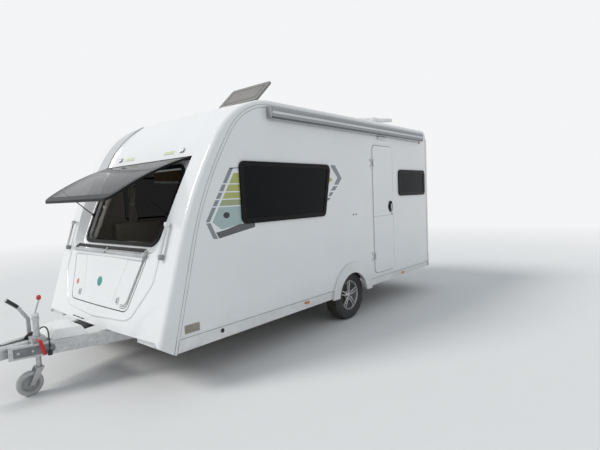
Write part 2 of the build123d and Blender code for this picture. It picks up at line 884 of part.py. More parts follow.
def pane_sheet():
    """The pane's whole band, arched in its side view, as wide as the body."""
    with BuildPart() as sheet:
        with BuildSketch(Plane.XZ.offset(-half_w)):
            with BuildLine() as outline:
                low_hinge = pane_point(0, 0)
                low_tip = pane_point(pane_chord, 0)
                top_tip = pane_point(pane_chord, pane_t)
                top_hinge = pane_point(0, pane_t)
                ThreePointArc(low_hinge, pane_point(pane_chord / 2, pane_bow), low_tip)
                Line(low_tip, top_tip)
                ThreePointArc(top_tip, pane_point(pane_chord / 2, pane_bow + pane_t), top_hinge)
                Line(top_hinge, low_hinge)
            make_face(outline.line)
        extrude(amount=2 * half_w)
    return sheet.part


def pane_plan(inset, back):
    """The pane seen from above, drawn inset from its edge, its hinge edge moved back."""
    Polygon(
        (pane_hinge_x - back, -pane_half_hinge),
        (pane_tip_x - pane_trim, -pane_half_tip),
        (pane_tip_x - pane_trim, pane_half_tip),
        (pane_hinge_x - back, pane_half_hinge),
        align=None,
    )
    fillet(vertices().group_by(Axis.X)[-1], radius=pane_tip_r)
    if inset:
        offset(amount=-inset)


pane_slab_z = pane_tip_z - pane_depth
pane_slab_h = 2 * pane_depth + pane_hinge_z - pane_tip_z
whole_pane = pane_sheet()
with BuildPart() as front_pane:
    with BuildSketch(Plane.XY.offset(pane_slab_z)):
        pane_plan(pane_rim, 0)
    extrude(amount=pane_slab_h)
    add(whole_pane, mode=Mode.INTERSECT)
front_pane.part.label = "front_pane"
export_step(front_pane.part, "parts/front_pane.step")

with BuildPart() as front_pane_rim:
    with BuildSketch(Plane.XY.offset(pane_slab_z)):
        pane_plan(0, 2 * pane_t)
    extrude(amount=pane_slab_h)
    with BuildSketch(Plane.XY.offset(pane_slab_z)):
        pane_plan(pane_rim, 0)
    extrude(amount=pane_slab_h, mode=Mode.SUBTRACT)
    add(whole_pane, mode=Mode.INTERSECT)
front_pane_rim.part.label = "front_pane_rim"
export_step(front_pane_rim.part, "parts/front_pane_rim.step")

# Stays that hold the pane open: each from the opening's rim to just under the pane
stay_y = opening_half_foot + 8
stay_r = 5
stay_block = 26
stay_up = 300
stay_along = 0.7
stay_gap = 12
rim_plane = recess_plane(opening_rim_up)
stay_foot = rim_plane.origin + rim_plane.y_dir * stay_up + rim_plane.z_dir * stay_r
stay_arch = 4 * pane_bow * stay_along * (1 - stay_along)
stay_head_x, stay_head_z = pane_point(stay_along * pane_chord, stay_arch - stay_gap)
stay_head = Vector(stay_head_x, 0, stay_head_z)
with BuildPart() as pane_stays:
    for sign in (1, -1):
        across = Vector(0, sign * stay_y, 0)
        with BuildSketch(Plane(origin=stay_foot + across, x_dir=(0, 1, 0), z_dir=stay_head - stay_foot)):
            Circle(stay_r)
        extrude(amount=(stay_head - stay_foot).length)
        block_foot = rim_plane.origin + rim_plane.y_dir * stay_up + across
        with BuildSketch(Plane(origin=block_foot, x_dir=(0, 1, 0), z_dir=rim_plane.z_dir)):
            Rectangle(stay_block, stay_block)
        extrude(amount=stay_block / 2)
pane_stays.part.label = "pane_stays"
export_step(pane_stays.part, "parts/pane_stays.step")

# Floor, between the walls, with openings for the two wheel boxes
floor_front = axle_x + 2520
with BuildPart() as floor:
    with BuildSketch(Plane.XY.offset(floor_z)):
        floor_rear = rear_x + shell_t
        with Locations(((floor_rear + floor_front) / 2, 0)):
            Rectangle(floor_front - floor_rear, 2 * (half_w - wall_t))
        box_w = half_w - wall_t - box_inner_y
        with Locations(
            (axle_x, box_inner_y + box_w / 2),
            (axle_x, -box_inner_y - box_w / 2),
        ):
            Rectangle(2 * box_half, box_w, mode=Mode.SUBTRACT)
    extrude(amount=floor_t)
floor.part.label = "floor"
export_step(floor.part, "parts/floor.step")

# Wheel boxes: open below and to the wheel
with BuildPart() as wheel_boxes:
    for sign in (1, -1):
        with BuildSketch(side_plane(sign, box_inner_y, half_w - wall_t)):
            with Locations((axle_x, (floor_z + box_top) / 2)):
                Rectangle(2 * box_half, box_top - floor_z)
        extrude(amount=half_w - wall_t - box_inner_y)
        with BuildSketch(side_plane(sign, box_inner_y + box_t, half_w - wall_t)):
            with Locations((axle_x, (floor_z + box_top) / 2 - box_t)):
                Rectangle(2 * (box_half - box_t), box_top - floor_z)
        extrude(amount=half_w - wall_t - box_inner_y - box_t, mode=Mode.SUBTRACT)
wheel_boxes.part.label = "wheel_boxes"
export_step(wheel_boxes.part, "parts/wheel_boxes.step")

# Skirts below the walls, cut by the arches
skirt_t = 22
skirt_rise = 34
with BuildPart() as skirts:
    for sign in (1, -1):
        with BuildSketch(side_plane(sign, half_w - wall_t + 8, half_w - wall_t + 8 + skirt_t)):
            with BuildLine():
                Polyline(
                    (rear_x + shell_t, skirt_z + skirt_rise),
                    (rear_x + shell_t, floor_z),
                    (seam_x(floor_z), floor_z),
                    (seam_foot_x, skirt_z),
                    close=True,
                )
            make_face()
            with Locations((axle_x + arch_dx, arch_z)):
                Circle(arch_r + arch_gap, mode=Mode.SUBTRACT)
        extrude(amount=skirt_t)
skirts.part.label = "skirts"
export_step(skirts.part, "parts/skirts.step")

# Arch mouldings, a raised band around each wheel opening
with BuildPart() as arch_mouldings:
    for sign in (1, -1):
        with BuildSketch(side_plane(sign, half_w, half_w + arch_out)):
            with Locations((axle_x + arch_dx, arch_z)):
                Circle(arch_r + arch_band)
                Circle(arch_r, mode=Mode.SUBTRACT)
            with Locations((axle_x + arch_dx, skirt_z - arch_r - arch_band)):
                span = 2 * (arch_r + arch_band)
                Rectangle(span + 10, span, mode=Mode.SUBTRACT)
        extrude(amount=arch_out)
arch_mouldings.part.label = "arch_mouldings"
export_step(arch_mouldings.part, "parts/arch_mouldings.step")

# Rear bumper with its lamps
bumper_t = 36
bumper_foot = 350
bumper_head = 560
with BuildPart() as rear_bumper:
    with BuildSketch(Plane.YZ.offset(rear_x - bumper_t)):
        with Locations((0, (bumper_foot + bumper_head) / 2)):
            RectangleRounded(2 * half_w - 20, bumper_head - bumper_foot, 30)
    extrude(amount=bumper_t)
rear_bumper.part.label = "rear_bumper"
export_step(rear_bumper.part, "parts/rear_bumper.step")

lamp_y = 860
with BuildPart() as rear_lamps:
    with BuildSketch(Plane.YZ.offset(rear_x - bumper_t - 14)):
        with Locations((-lamp_y, 455), (lamp_y, 455)):
            RectangleRounded(330, 110, 40)
    extrude(amount=14)
rear_lamps.part.label = "rear_lamps"
export_step(rear_lamps.part, "parts/rear_lamps.step")

# Side markers: distance ahead of the axle and height
marker_places = [(895, 398), (-1284, 385)]
with BuildPart() as side_markers:
    for sign in (1, -1):
        skirt_face = half_w - wall_t + 8 + skirt_t
        with BuildSketch(side_plane(sign, skirt_face, skirt_face + 12)):
            for ahead, height in marker_places:
                with Locations((axle_x + ahead, height)):
                    Rectangle(70, 24)
        extrude(amount=12)
side_markers.part.label = "side_markers"
export_step(side_markers.part, "parts/side_markers.step")

# Awning case along the door side's roof edge
with BuildPart() as awning_case:
    with BuildSketch(Plane.YZ.offset(awning_rear)):
        with Locations((half_w + awning_depth / 2, awning_z)):
            RectangleRounded(awning_depth, awning_h, 30)
    extrude(amount=awning_front - awning_rear)
awning_case.part.label = "awning_case"
export_step(awning_case.part, "parts/awning_case.step")

# Roof aerial: a pedestal and a pointed wing that lies across the roof
aerial_x = axle_x - 980
aerial_y = half_w - 270
aerial_up = 50
aerial_t = 46
aerial_turn = 43
wing_plane = Plane(
    origin=(aerial_x, aerial_y, roof_z + aerial_up),
    x_dir=(-cos(radians(aerial_turn)), sin(radians(aerial_turn)), 0),
    z_dir=(0, 0, 1),
)
with BuildPart() as antenna:
    with BuildSketch(Plane.XY.offset(roof_z)):
        with Locations((aerial_x, aerial_y)):
            RegularPolygon(64, 10)
    extrude(amount=aerial_up, taper=12)
    with BuildSketch(wing_plane):
        Polygon((-250, -95), (-210, -110), (290, -20), (300, 0), (290, 20), (-210, 110), (-250, 95), align=None)
    extrude(amount=aerial_t, taper=15)
antenna.part.label = "antenna"
export_step(antenna.part, "parts/antenna.step")

# Chassis rails: two channels behind, then two that close in on the coupling
rail_z = floor_z - rail_h / 2
with BuildPart() as chassis_rails:
    for sign in (1, -1):
        with BuildSketch(Plane.YZ.offset(rail_rear)):
            with Locations((sign * rail_y, rail_z)):
                Rectangle(rail_w, rail_h)
            with Locations((sign * (rail_y - rail_t), rail_z)):
                Rectangle(rail_w, rail_h - 2 * rail_t, mode=Mode.SUBTRACT)
        extrude(amount=drawbar_back - rail_rear)
chassis_rails.part.label = "chassis_rails"
export_step(chassis_rails.part, "parts/chassis_rails.step")

bar_run = drawbar_tip - drawbar_back
bar_in = rail_y - drawbar_tip_y
bar_len = hypot(bar_run, bar_in)
bar_drop = 12
bar_z = rail_z - bar_drop
with BuildPart() as drawbar:
    for sign in (1, -1):
        bar_plane = Plane(
            origin=(drawbar_back, sign * rail_y, bar_z),
            x_dir=(sign * bar_in, bar_run, 0),
            z_dir=(bar_run, -sign * bar_in, 0),
        )
        with BuildSketch(bar_plane):
            Rectangle(rail_w, rail_h)
            with Locations((-sign * rail_t, 0)):
                Rectangle(rail_w, rail_h - 2 * rail_t, mode=Mode.SUBTRACT)
        extrude(amount=bar_len)
drawbar.part.label = "drawbar"
export_step(drawbar.part, "parts/drawbar.step")

# Axle: tube, trailing arms and the stubs that carry the wheels
tube_x = axle_x + tube_ahead
tube_z = floor_z - rail_h - tube_r
with BuildPart() as axle:
    with BuildSketch(side_plane(1, -tube_half, tube_half)):
        with Locations((tube_x, tube_z)):
            Circle(tube_r)
    extrude(amount=2 * tube_half)
    for sign in (1, -1):
        with BuildSketch(side_plane(sign, tube_half, tube_half + arm_t)):
            with Locations((tube_x, tube_z)):
                Circle(tube_r)
            with Locations((axle_x, wheel_z)):
                Circle(tube_r - 8)
            make_hull()
        extrude(amount=arm_t)
        with BuildSketch(side_plane(sign, tube_half + arm_t, stub_end)):
            with Locations((axle_x, wheel_z)):
                Circle(stub_r)
        extrude(amount=stub_end - tube_half - arm_t)
axle.part.label = "axle"
export_step(axle.part, "parts/axle.step")

# Wheels: tyre, then rim with its hub and twin spokes
bead_in = 10
shoulder_r = tyre_r - 24
tread_in = 24
barrel_t = 14
rim_half = 76
hub_r = 58
hub_clear = 8
spoke_t = 24
spoke_back = 34
spoke_w = 14
spoke_split = 16
spoke_in = wheel_y + rim_half - spoke_back
for name, sign in (("left", 1), ("right", -1)):
    with BuildPart() as tyre:
        with BuildSketch(Plane.XY.offset(wheel_z)):
            with BuildLine():
                y_c = sign * wheel_y
                half = tyre_w / 2
                Polyline(
                    (axle_x + bead_r, y_c - half + bead_in),
                    (axle_x + shoulder_r, y_c - half),
                    (axle_x + tyre_r, y_c - half + tread_in),
                    (axle_x + tyre_r, y_c + half - tread_in),
                    (axle_x + shoulder_r, y_c + half),
                    (axle_x + bead_r, y_c + half - bead_in),
                    close=True,
                )
            make_face()
        revolve(axis=Axis((axle_x, 0, wheel_z), (0, 1, 0)))
    tyre.part.label = f"tyre_{name}"
    export_step(tyre.part, f"parts/tyre_{name}.step")

    with BuildPart() as rim:
        with BuildSketch(side_plane(sign, wheel_y - rim_half, wheel_y + rim_half)):
            with Locations((axle_x, wheel_z)):
                Circle(bead_r)
                Circle(bead_r - barrel_t, mode=Mode.SUBTRACT)
        extrude(amount=2 * rim_half)
        with BuildSketch(side_plane(sign, spoke_in, spoke_in + spoke_t)):
            with Locations((axle_x, wheel_z)):
                with PolarLocations(0, spokes):
                    with Locations(
                        ((bead_r - barrel_t / 2) / 2, spoke_split),
                        ((bead_r - barrel_t / 2) / 2, -spoke_split),
                    ):
                        Rectangle(bead_r - barrel_t / 2, spoke_w)
        extrude(amount=spoke_t)
        with BuildSketch(side_plane(sign, hub_in, spoke_in + spoke_t)):
            with Locations((axle_x, wheel_z)):
                Circle(hub_r)
        extrude(amount=spoke_in + spoke_t - hub_in)
        with BuildSketch(side_plane(sign, hub_in - 1, stub_end + hub_clear)):
            with Locations((axle_x, wheel_z)):
                Circle(stub_r + stub_clear)
        extrude(amount=stub_end + hub_clear - hub_in + 1, mode=Mode.SUBTRACT)
    rim.part.label = f"rim_{name}"
    export_step(rim.part, f"parts/rim_{name}.step")

# Overrun housing and coupling head
with BuildPart() as overrun_housing:
    with BuildSketch(Plane.YZ.offset(housing_back)):
        with Locations((0, bar_z)):
            RectangleRounded(housing_w, housing_h, 18)
    extrude(amount=housing_front - housing_back)
    with BuildSketch(Plane.YZ.offset(housing_front)):
        with Locations((0, bar_z)):
            Circle(30)
    extrude(amount=coupling_x - 120 - housing_front)
overrun_housing.part.label = "overrun_housing"
export_step(overrun_housing.part, "parts/overrun_housing.step")

head_r = 44
head_back = coupling_x - 120
with BuildPart() as coupling_head:
    with BuildSketch(Plane.XY.offset(coupling_z - 30)):
        with Locations((coupling_x, 0)):
            Circle(head_r)
        with Locations(((coupling_x + head_back) / 2, 0)):
            Rectangle(coupling_x - head_back, 2 * head_r - 14)
    extrude(amount=62)
    with BuildSketch(Plane.XY.offset(coupling_z - 30)):
        with Locations((coupling_x, 0)):
            Circle(ball_r)
    extrude(amount=40, mode=Mode.SUBTRACT)
coupling_head.part.label = "coupling_head"
export_step(coupling_head.part, "parts/coupling_head.step")

# Levers: the coupling's handle, then the handbrake, each as a side view
handle_w = 28
coupling_handle = [
    (coupling_x - 40, coupling_z + 32),
    (coupling_x + 20, coupling_z + 32),
    (coupling_x - 60, coupling_z + 96),
    (coupling_x - 190, coupling_z + 118),
    (coupling_x - 190, coupling_z + 96),
    (coupling_x - 90, coupling_z + 78),
]
brake_w = 22
brake_y = -10
brake_x = coupling_x - 605
brake_foot_z = bar_z + housing_h / 2
handbrake = [
    (brake_x, brake_foot_z),
    (brake_x + 6, brake_foot_z + 188),
    (brake_x + 72, brake_foot_z + 298),
    (brake_x + 162, brake_foot_z + 382),
    (brake_x + 178, brake_foot_z + 364),
    (brake_x + 94, brake_foot_z + 282),
    (brake_x + 32, brake_foot_z + 180),
    (brake_x + 32, brake_foot_z),
]
with BuildPart() as levers:
    for y_mid, width, outline in ((0, handle_w, coupling_handle), (brake_y, brake_w, handbrake)):
        with BuildSketch(Plane.XZ.offset(-y_mid - width / 2)):
            Polygon(*outline, align=None)
        extrude(amount=width)
levers.part.label = "levers"
export_step(levers.part, "parts/levers.step")

# White fairing over the drawbar members, sloped all round
fairing_back = axle_x + 2830
fairing_front = axle_x + 3095
fairing_half_back = 245
fairing_half_front = 165
fairing_foot = bar_z + rail_h / 2
fairing_up = 72
with BuildPart() as fairing:
    with BuildSketch(Plane.XY.offset(fairing_foot)):
        Polygon(
            (fairing_back, -fairing_half_back),
            (fairing_front, -fairing_half_front),
            (fairing_front, fairing_half_front),
            (fairing_back, fairing_half_back),
            align=None,
        )
    extrude(amount=fairing_up, taper=28)
fairing.part.label = "fairing"
export_step(fairing.part, "parts/fairing.step")

# Lead that rises from the housing and hangs beside the near member: ahead of the axle, across, height
lead_r = 5.5
gland_h = 8
gland_r = 11
gland_foot = bar_z + housing_h / 2
lead_route = [
    (3150, 16, gland_foot + gland_h),
    (3150, 16, 478),
    (3141, 42, 520),
    (3124, 92, 538),
    (3121, 146, 530),
    (3130, 194, 496),
    (3136, 216, 440),
    (3136, 216, 366),
]
lead_points = [Vector(axle_x + ahead, across, height) for ahead, across, height in lead_route]
lead_radii = []
for before, corner, after in zip(lead_points, lead_points[1:], lead_points[2:]):
    turn = radians((corner - before).get_angle(after - corner))
    shorter = min((corner - before).length, (after - corner).length)
    lead_radii.append(0.45 * shorter / tan(turn / 2))
print("lead radii", [round(radius) for radius in lead_radii])
with BuildPart() as lead_cord:
    with BuildLine() as lead_path:
        FilletPolyline(*lead_points, radius=lead_radii)
    with BuildSketch(Plane(origin=lead_points[0], z_dir=(0, 0, 1))):
        RegularPolygon(lead_r, 6)
    sweep(path=lead_path.line)
lead_cord.part.label = "lead_cord"
export_step(lead_cord.part, "parts/lead_cord.step")

plug_w = 32
plug_d = 30
plug_h = 42
with BuildPart() as lead_ends:
    with BuildSketch(Plane.XY.offset(gland_foot)):
        with Locations((lead_points[0].X, lead_points[0].Y)):
            Circle(gland_r)
    extrude(amount=gland_h)
    with BuildSketch(Plane.XY.offset(lead_points[-1].Z - plug_h)):
        with Locations((lead_points[-1].X, lead_points[-1].Y)):
            RectangleRounded(plug_w, plug_d, 6)
    extrude(amount=plug_h)
lead_ends.part.label = "lead_ends"
export_step(lead_ends.part, "parts/lead_ends.step")

# Jockey wheel: clamp, outer tube, sliding leg, swivelling fork and wheel
clamp_foot = bar_z + rail_h / 2
clamp_len = 96
clamp_w = 84
clamp_h = 46
with BuildPart() as jockey_clamp:
    with BuildSketch(Plane.XY.offset(clamp_foot)):
        with Locations((jockey_x, jockey_y)):
            Rectangle(clamp_len, clamp_w)
            Circle(jockey_r, mode=Mode.SUBTRACT)
    extrude(amount=clamp_h)
jockey_clamp.part.label = "jockey_clamp"
export_step(jockey_clamp.part, "parts/jockey_clamp.step")

# Red lever of the clamp, hanging from its screw outside the member
clamp_screw_r = 7
clamp_screw_z = clamp_foot + clamp_h / 2
clamp_screw_x = jockey_x + 14
clamp_side_y = jockey_y + clamp_w / 2
clamp_reach = 69
clamp_lever_t = 12
with BuildPart() as clamp_lever:
    with BuildSketch(side_plane(1, clamp_side_y, clamp_side_y + clamp_reach)):
        with Locations((clamp_screw_x, clamp_screw_z)):
            Circle(clamp_screw_r)
    extrude(amount=clamp_reach)
    with BuildSketch(side_plane(1, clamp_side_y + clamp_reach - clamp_lever_t, clamp_side_y + clamp_reach)):
        Polygon(
            (clamp_screw_x - 12, clamp_screw_z + 12),
            (clamp_screw_x - 44, clamp_screw_z - 116),
            (clamp_screw_x - 18, clamp_screw_z - 122),
            (clamp_screw_x + 12, clamp_screw_z + 8),
            align=None,
        )
    extrude(amount=clamp_lever_t)
clamp_lever.part.label = "clamp_lever"
export_step(clamp_lever.part, "parts/clamp_lever.step")

with BuildPart() as jockey_tube:
    with BuildSketch(Plane.XY.offset(jockey_tube_foot)):
        with Locations((jockey_x, jockey_y)):
            Circle(jockey_r)
            Circle(jockey_bore, mode=Mode.SUBTRACT)
    extrude(amount=jockey_top - jockey_tube_foot)
jockey_tube.part.label = "jockey_tube"
export_step(jockey_tube.part, "parts/jockey_tube.step")

leg_r = jockey_bore - 0.1
with BuildPart() as jockey_leg:
    with BuildSketch(Plane.XY.offset(jockey_leg_foot)):
        with Locations((jockey_x, jockey_y)):
            Circle(leg_r)
    extrude(amount=jockey_leg_len)
jockey_leg.part.label = "jockey_leg"
export_step(jockey_leg.part, "parts/jockey_leg.step")

crank_h = 26
crank_t = 12
crank_reach = 110
crank_rise = 140
knob_h = 50
with BuildPart() as jockey_crank:
    with BuildSketch(Plane.XY.offset(jockey_top)):
        with Locations((jockey_x, jockey_y)):
            Circle(jockey_r + 3)
    extrude(amount=crank_h)
    with BuildSketch(Plane.YZ.offset(jockey_x - crank_t / 2)):
        Polygon(
            (jockey_y - crank_t / 2, jockey_top + crank_h),
            (jockey_y + crank_t / 2, jockey_top + crank_h),
            (jockey_y + crank_reach + crank_t / 2, jockey_top + crank_rise),
            (jockey_y + crank_reach + crank_t / 2, jockey_top + crank_rise + knob_h),
            (jockey_y + crank_reach - crank_t / 2, jockey_top + crank_rise + knob_h),
            (jockey_y + crank_reach - crank_t / 2, jockey_top + crank_rise + crank_t / 2),
            align=None,
        )
    extrude(amount=crank_t)
jockey_crank.part.label = "jockey_crank"
export_step(jockey_crank.part, "parts/jockey_crank.step")

fork_t = 6
fork_gap = 8
fork_top = jockey_leg_foot - 0.3
fork_half = jockey_wheel_w / 2 + fork_gap
jockey_axle_x = jockey_x + jockey_trail
with BuildPart() as jockey_fork:
    for sign in (1, -1):
        y_face = jockey_y + sign * fork_half
        with BuildSketch(Plane.XZ.offset(-y_face - (fork_t if sign > 0 else 0))):
            with BuildLine():
                Polyline(
                    (jockey_x - 28, fork_top),
                    (jockey_x + 28, fork_top),
                    (jockey_axle_x + 20, jockey_wheel_r - 14),
                    (jockey_axle_x - 20, jockey_wheel_r - 14),
                    close=True,
                )
            make_face()
        extrude(amount=fork_t)
    with BuildSketch(Plane.XY.offset(fork_top - fork_t)):
        with Locations((jockey_x, jockey_y)):
            Rectangle(56, 2 * (fork_half + fork_t))
    extrude(amount=fork_t)
    with BuildSketch(Plane.XZ.offset(-jockey_y - fork_half - fork_t)):
        with Locations((jockey_axle_x, jockey_wheel_r)):
            Circle(8)
    extrude(amount=2 * (fork_half + fork_t))
jockey_fork.part.label = "jockey_fork"
export_step(jockey_fork.part, "parts/jockey_fork.step")

with BuildPart() as jockey_wheel:
    with BuildSketch(Plane.XZ.offset(-jockey_y - jockey_wheel_w / 2)):
        with Locations((jockey_axle_x, jockey_wheel_r)):
            Circle(jockey_wheel_r)
            Circle(8.1, mode=Mode.SUBTRACT)
    extrude(amount=jockey_wheel_w)
jockey_wheel.part.label = "jockey_wheel"
export_step(jockey_wheel.part, "parts/jockey_wheel.step")

steady_foot_len = 90
steady_foot_w = 110
steady_foot_t = 6

# Corner steadies: name, pivot ahead of the axle, side, direction of the foot
steadies = [
    ("steady_front_left", 1640, 1, 1),
    ("steady_front_right", 1640, -1, 1),
    ("steady_rear_left", -1500, 1, -1),
    ("steady_rear_right", -1500, -1, -1),
]
for name, ahead, side, toward in steadies:
    pivot_x = axle_x + ahead
    with BuildPart() as steady:
        with BuildSketch(side_plane(side, steady_y - steady_w / 2, steady_y + steady_w / 2)):
            with Locations((pivot_x + toward * steady_len / 2, steady_z)):
                Rectangle(steady_len + steady_h, steady_h)
        extrude(amount=steady_w)
        with BuildSketch(Plane.XY.offset(steady_z - steady_h / 2 - steady_foot_t)):
            with Locations((pivot_x + toward * steady_len, side * steady_y)):
                Rectangle(steady_foot_len, steady_foot_w)
        extrude(amount=steady_foot_t)
        with BuildSketch(side_plane(side, steady_y - steady_w, steady_y + steady_w)):
            with Locations((pivot_x, steady_z)):
                Circle(knuckle_r + pin_clear)
        extrude(amount=2 * steady_w, mode=Mode.SUBTRACT)
    steady.part.label = name
    export_step(steady.part, f"parts/{name}.step")

bracket_t = 6
with BuildPart() as steady_brackets:
    for name, ahead, side, toward in steadies:
        pivot_x = axle_x + ahead
        ear_in = steady_w / 2 + joint_gap
        for ear in (-1, 1):
            y_near = side * steady_y + ear * ear_in
            y_far = y_near + ear * bracket_t
            low, high = sorted((y_near, y_far))
            with BuildSketch(Plane.XZ.offset(-high)):
                with Locations((pivot_x, (steady_z - 20 + floor_z) / 2)):
                    Rectangle(70, floor_z - steady_z + 20)
            extrude(amount=bracket_t)
        with BuildSketch(side_plane(side, steady_y - ear_in - bracket_t, steady_y + ear_in + bracket_t)):
            with Locations((pivot_x, steady_z)):
                Circle(knuckle_r)
        extrude(amount=2 * (ear_in + bracket_t))
steady_brackets.part.label = "steady_brackets"
export_step(steady_brackets.part, "parts/steady_brackets.step")

# Inside: seat boxes and front chest of board, kitchen unit, overhead lockers, then the cushions
inner_y = half_w - wall_t - 4
bench_h = 330
bench_depth = 620
bench_rear = axle_x + 620
bench_front = axle_x + 1980
bench_y = inner_y - bench_depth / 2
chest_back = bench_front + 10
chest_front = axle_x + 2240
chest_top = 1110
kitchen_rear = axle_x - 480
kitchen_front = axle_x + 440
kitchen_depth = 540
kitchen_h = 900
kitchen_y = -(inner_y - kitchen_depth / 2)
box_clear = 4
board_t = 18
locker_rear = axle_x - 400
locker_front = axle_x + 1500
locker_depth = 300
locker_head = wall_top_z - 132
locker_foot = locker_head - 350
locker_y = inner_y - locker_depth / 2
with BuildPart() as furniture:
    with BuildSketch(Plane.XY.offset(floor_top)):
        with Locations(((bench_rear + bench_front) / 2, bench_y), ((bench_rear + bench_front) / 2, -bench_y)):
            Rectangle(bench_front - bench_rear, bench_depth)
    extrude(amount=bench_h)
    with BuildSketch(Plane.XY.offset(floor_top)):
        with Locations(((bench_rear + bench_front) / 2, bench_y), ((bench_rear + bench_front) / 2, -bench_y)):
            Rectangle(bench_front - bench_rear - 2 * board_t, bench_depth - 2 * board_t)
    extrude(amount=bench_h - board_t, mode=Mode.SUBTRACT)
    with BuildSketch(Plane.XY.offset(floor_top)):
        with Locations(((chest_back + chest_front) / 2, 0)):
            Rectangle(chest_front - chest_back, 2 * inner_y)
    extrude(amount=chest_top - floor_top)
    with BuildSketch(Plane.XY.offset(floor_top)):
        with Locations(((chest_back + chest_front) / 2, 0)):
            Rectangle(chest_front - chest_back - 2 * board_t, 2 * inner_y - 2 * board_t)
    extrude(amount=chest_top - floor_top - board_t, mode=Mode.SUBTRACT)
    with BuildSketch(Plane.XY.offset(floor_top)):
        with Locations(((kitchen_rear + kitchen_front) / 2, kitchen_y)):
            Rectangle(kitchen_front - kitchen_rear, kitchen_depth)
    extrude(amount=kitchen_h)
    with BuildSketch(Plane.XY.offset(floor_top)):
        box_cut = half_w - box_inner_y + box_clear
        with Locations((axle_x, -(half_w - box_cut / 2))):
            Rectangle(2 * (box_half + box_clear), box_cut)
    extrude(amount=box_top - floor_top + box_clear, mode=Mode.SUBTRACT)
    with BuildSketch(Plane.XY.offset(locker_foot)):
        with Locations(((locker_rear + locker_front) / 2, locker_y), ((locker_rear + locker_front) / 2, -locker_y)):
            Rectangle(locker_front - locker_rear, locker_depth)
    extrude(amount=locker_head - locker_foot)
furniture.part.label = "furniture"
export_step(furniture.part, "parts/furniture.step")

cushion_t = 120
cushion_in = 5
with BuildPart() as seat_cushions:
    with BuildSketch(Plane.XY.offset(floor_top + bench_h + 1)):
        with Locations(((bench_rear + bench_front) / 2, bench_y), ((bench_rear + bench_front) / 2, -bench_y)):
            Rectangle(bench_front - bench_rear - 2 * cushion_in, bench_depth - 2 * cushion_in)
    extrude(amount=cushion_t)
seat_cushions.part.label = "seat_cushions"
export_step(seat_cushions.part, "parts/seat_cushions.step")

# Curtains: a pair beside the front opening, then pairs beside the two big side windows
front_curtain = [(2350, 1150), (2035, 1850), (1980, 1850), (2295, 1150)]
front_curtain_in = 640
front_curtain_out = 730
curtain_in = 18
curtain_t = 50
curtain_w = 130
curtain_foot = 1250
curtain_head = 1900
curtain_places = [540, 1670]
with BuildPart() as curtains:
    for sign in (1, -1):
        with BuildSketch(side_plane(sign, front_curtain_in, front_curtain_out)):
            Polygon(*[(axle_x + ahead, height) for ahead, height in front_curtain], align=None)
        extrude(amount=front_curtain_out - front_curtain_in)
        curtain_face = half_w - wall_t - curtain_in
        with BuildSketch(side_plane(sign, curtain_face - curtain_t, curtain_face)):
            for ahead in curtain_places:
                with Locations((axle_x + ahead, (curtain_foot + curtain_head) / 2)):
                    Rectangle(curtain_w, curtain_head - curtain_foot)
        extrude(amount=curtain_t)
curtains.part.label = "curtains"
export_step(curtains.part, "parts/curtains.step")

partition_x = axle_x - 1120
partition_t = 26
with BuildPart() as partition:
    with BuildSketch(Plane.YZ.offset(partition_x)):
        with Locations((0, (floor_top + wall_top_z) / 2)):
            Rectangle(2 * (half_w - wall_t) - 2, wall_top_z - floor_top)
        with Locations((0, floor_top + 950)):
            Rectangle(560, 1900, mode=Mode.SUBTRACT)
    extrude(amount=partition_t)
partition.part.label = "partition"
export_step(partition.part, "parts/partition.step")
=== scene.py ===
import json
import math

import bpy
from mathutils import Matrix, Vector
from mathutils.bvhtree import BVHTree

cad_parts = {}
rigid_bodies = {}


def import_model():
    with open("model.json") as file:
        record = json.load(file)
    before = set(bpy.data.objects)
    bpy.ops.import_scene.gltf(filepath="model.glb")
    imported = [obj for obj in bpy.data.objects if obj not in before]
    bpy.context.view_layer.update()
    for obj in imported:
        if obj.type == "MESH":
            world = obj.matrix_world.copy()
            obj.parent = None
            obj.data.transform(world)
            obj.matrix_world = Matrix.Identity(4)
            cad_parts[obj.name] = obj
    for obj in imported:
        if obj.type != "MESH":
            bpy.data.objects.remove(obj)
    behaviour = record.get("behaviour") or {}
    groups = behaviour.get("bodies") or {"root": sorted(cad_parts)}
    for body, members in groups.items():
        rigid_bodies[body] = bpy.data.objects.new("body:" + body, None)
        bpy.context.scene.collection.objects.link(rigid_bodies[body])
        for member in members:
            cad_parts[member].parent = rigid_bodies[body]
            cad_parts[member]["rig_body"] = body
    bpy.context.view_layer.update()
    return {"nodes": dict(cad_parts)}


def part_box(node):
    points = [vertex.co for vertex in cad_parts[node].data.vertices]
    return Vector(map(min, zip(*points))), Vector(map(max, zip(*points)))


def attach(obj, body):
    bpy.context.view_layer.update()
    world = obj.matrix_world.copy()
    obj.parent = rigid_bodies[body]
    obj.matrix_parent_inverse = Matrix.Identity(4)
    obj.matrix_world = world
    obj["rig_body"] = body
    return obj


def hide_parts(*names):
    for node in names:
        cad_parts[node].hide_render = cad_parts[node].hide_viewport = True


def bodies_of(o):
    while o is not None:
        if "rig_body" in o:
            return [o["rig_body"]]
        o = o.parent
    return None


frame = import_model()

NODES = frame["nodes"]
SIDES = ((1, "left"), (-1, "right"))
X, Y, Z = (1, 0, 0), (0, 1, 0), (0, 0, 1)

# Places and sizes of the CAD, in metres: the axle and walls, then the front's rake and bow
AXLE_X, HALF_W = -0.82, 1.09
WHEEL_Y, WHEEL_Z = 0.955, 0.297
FACE_FOOT = (AXLE_X + 2.697, 0.322)
LEAN, BOW = 0.306763, 0.042

# The sunk face of the front: straight up to RECESS_FLAT, then round to the roof
RECESS_FOOT = (AXLE_X + 2.405, 1.145)
RECESS_LEAN = math.radians(24.6)
RECESS_FLAT, RECESS_ROUND = 0.863, 1.2136
RECESS_HALF, RECESS_SPREAD = 0.746, 0.0855

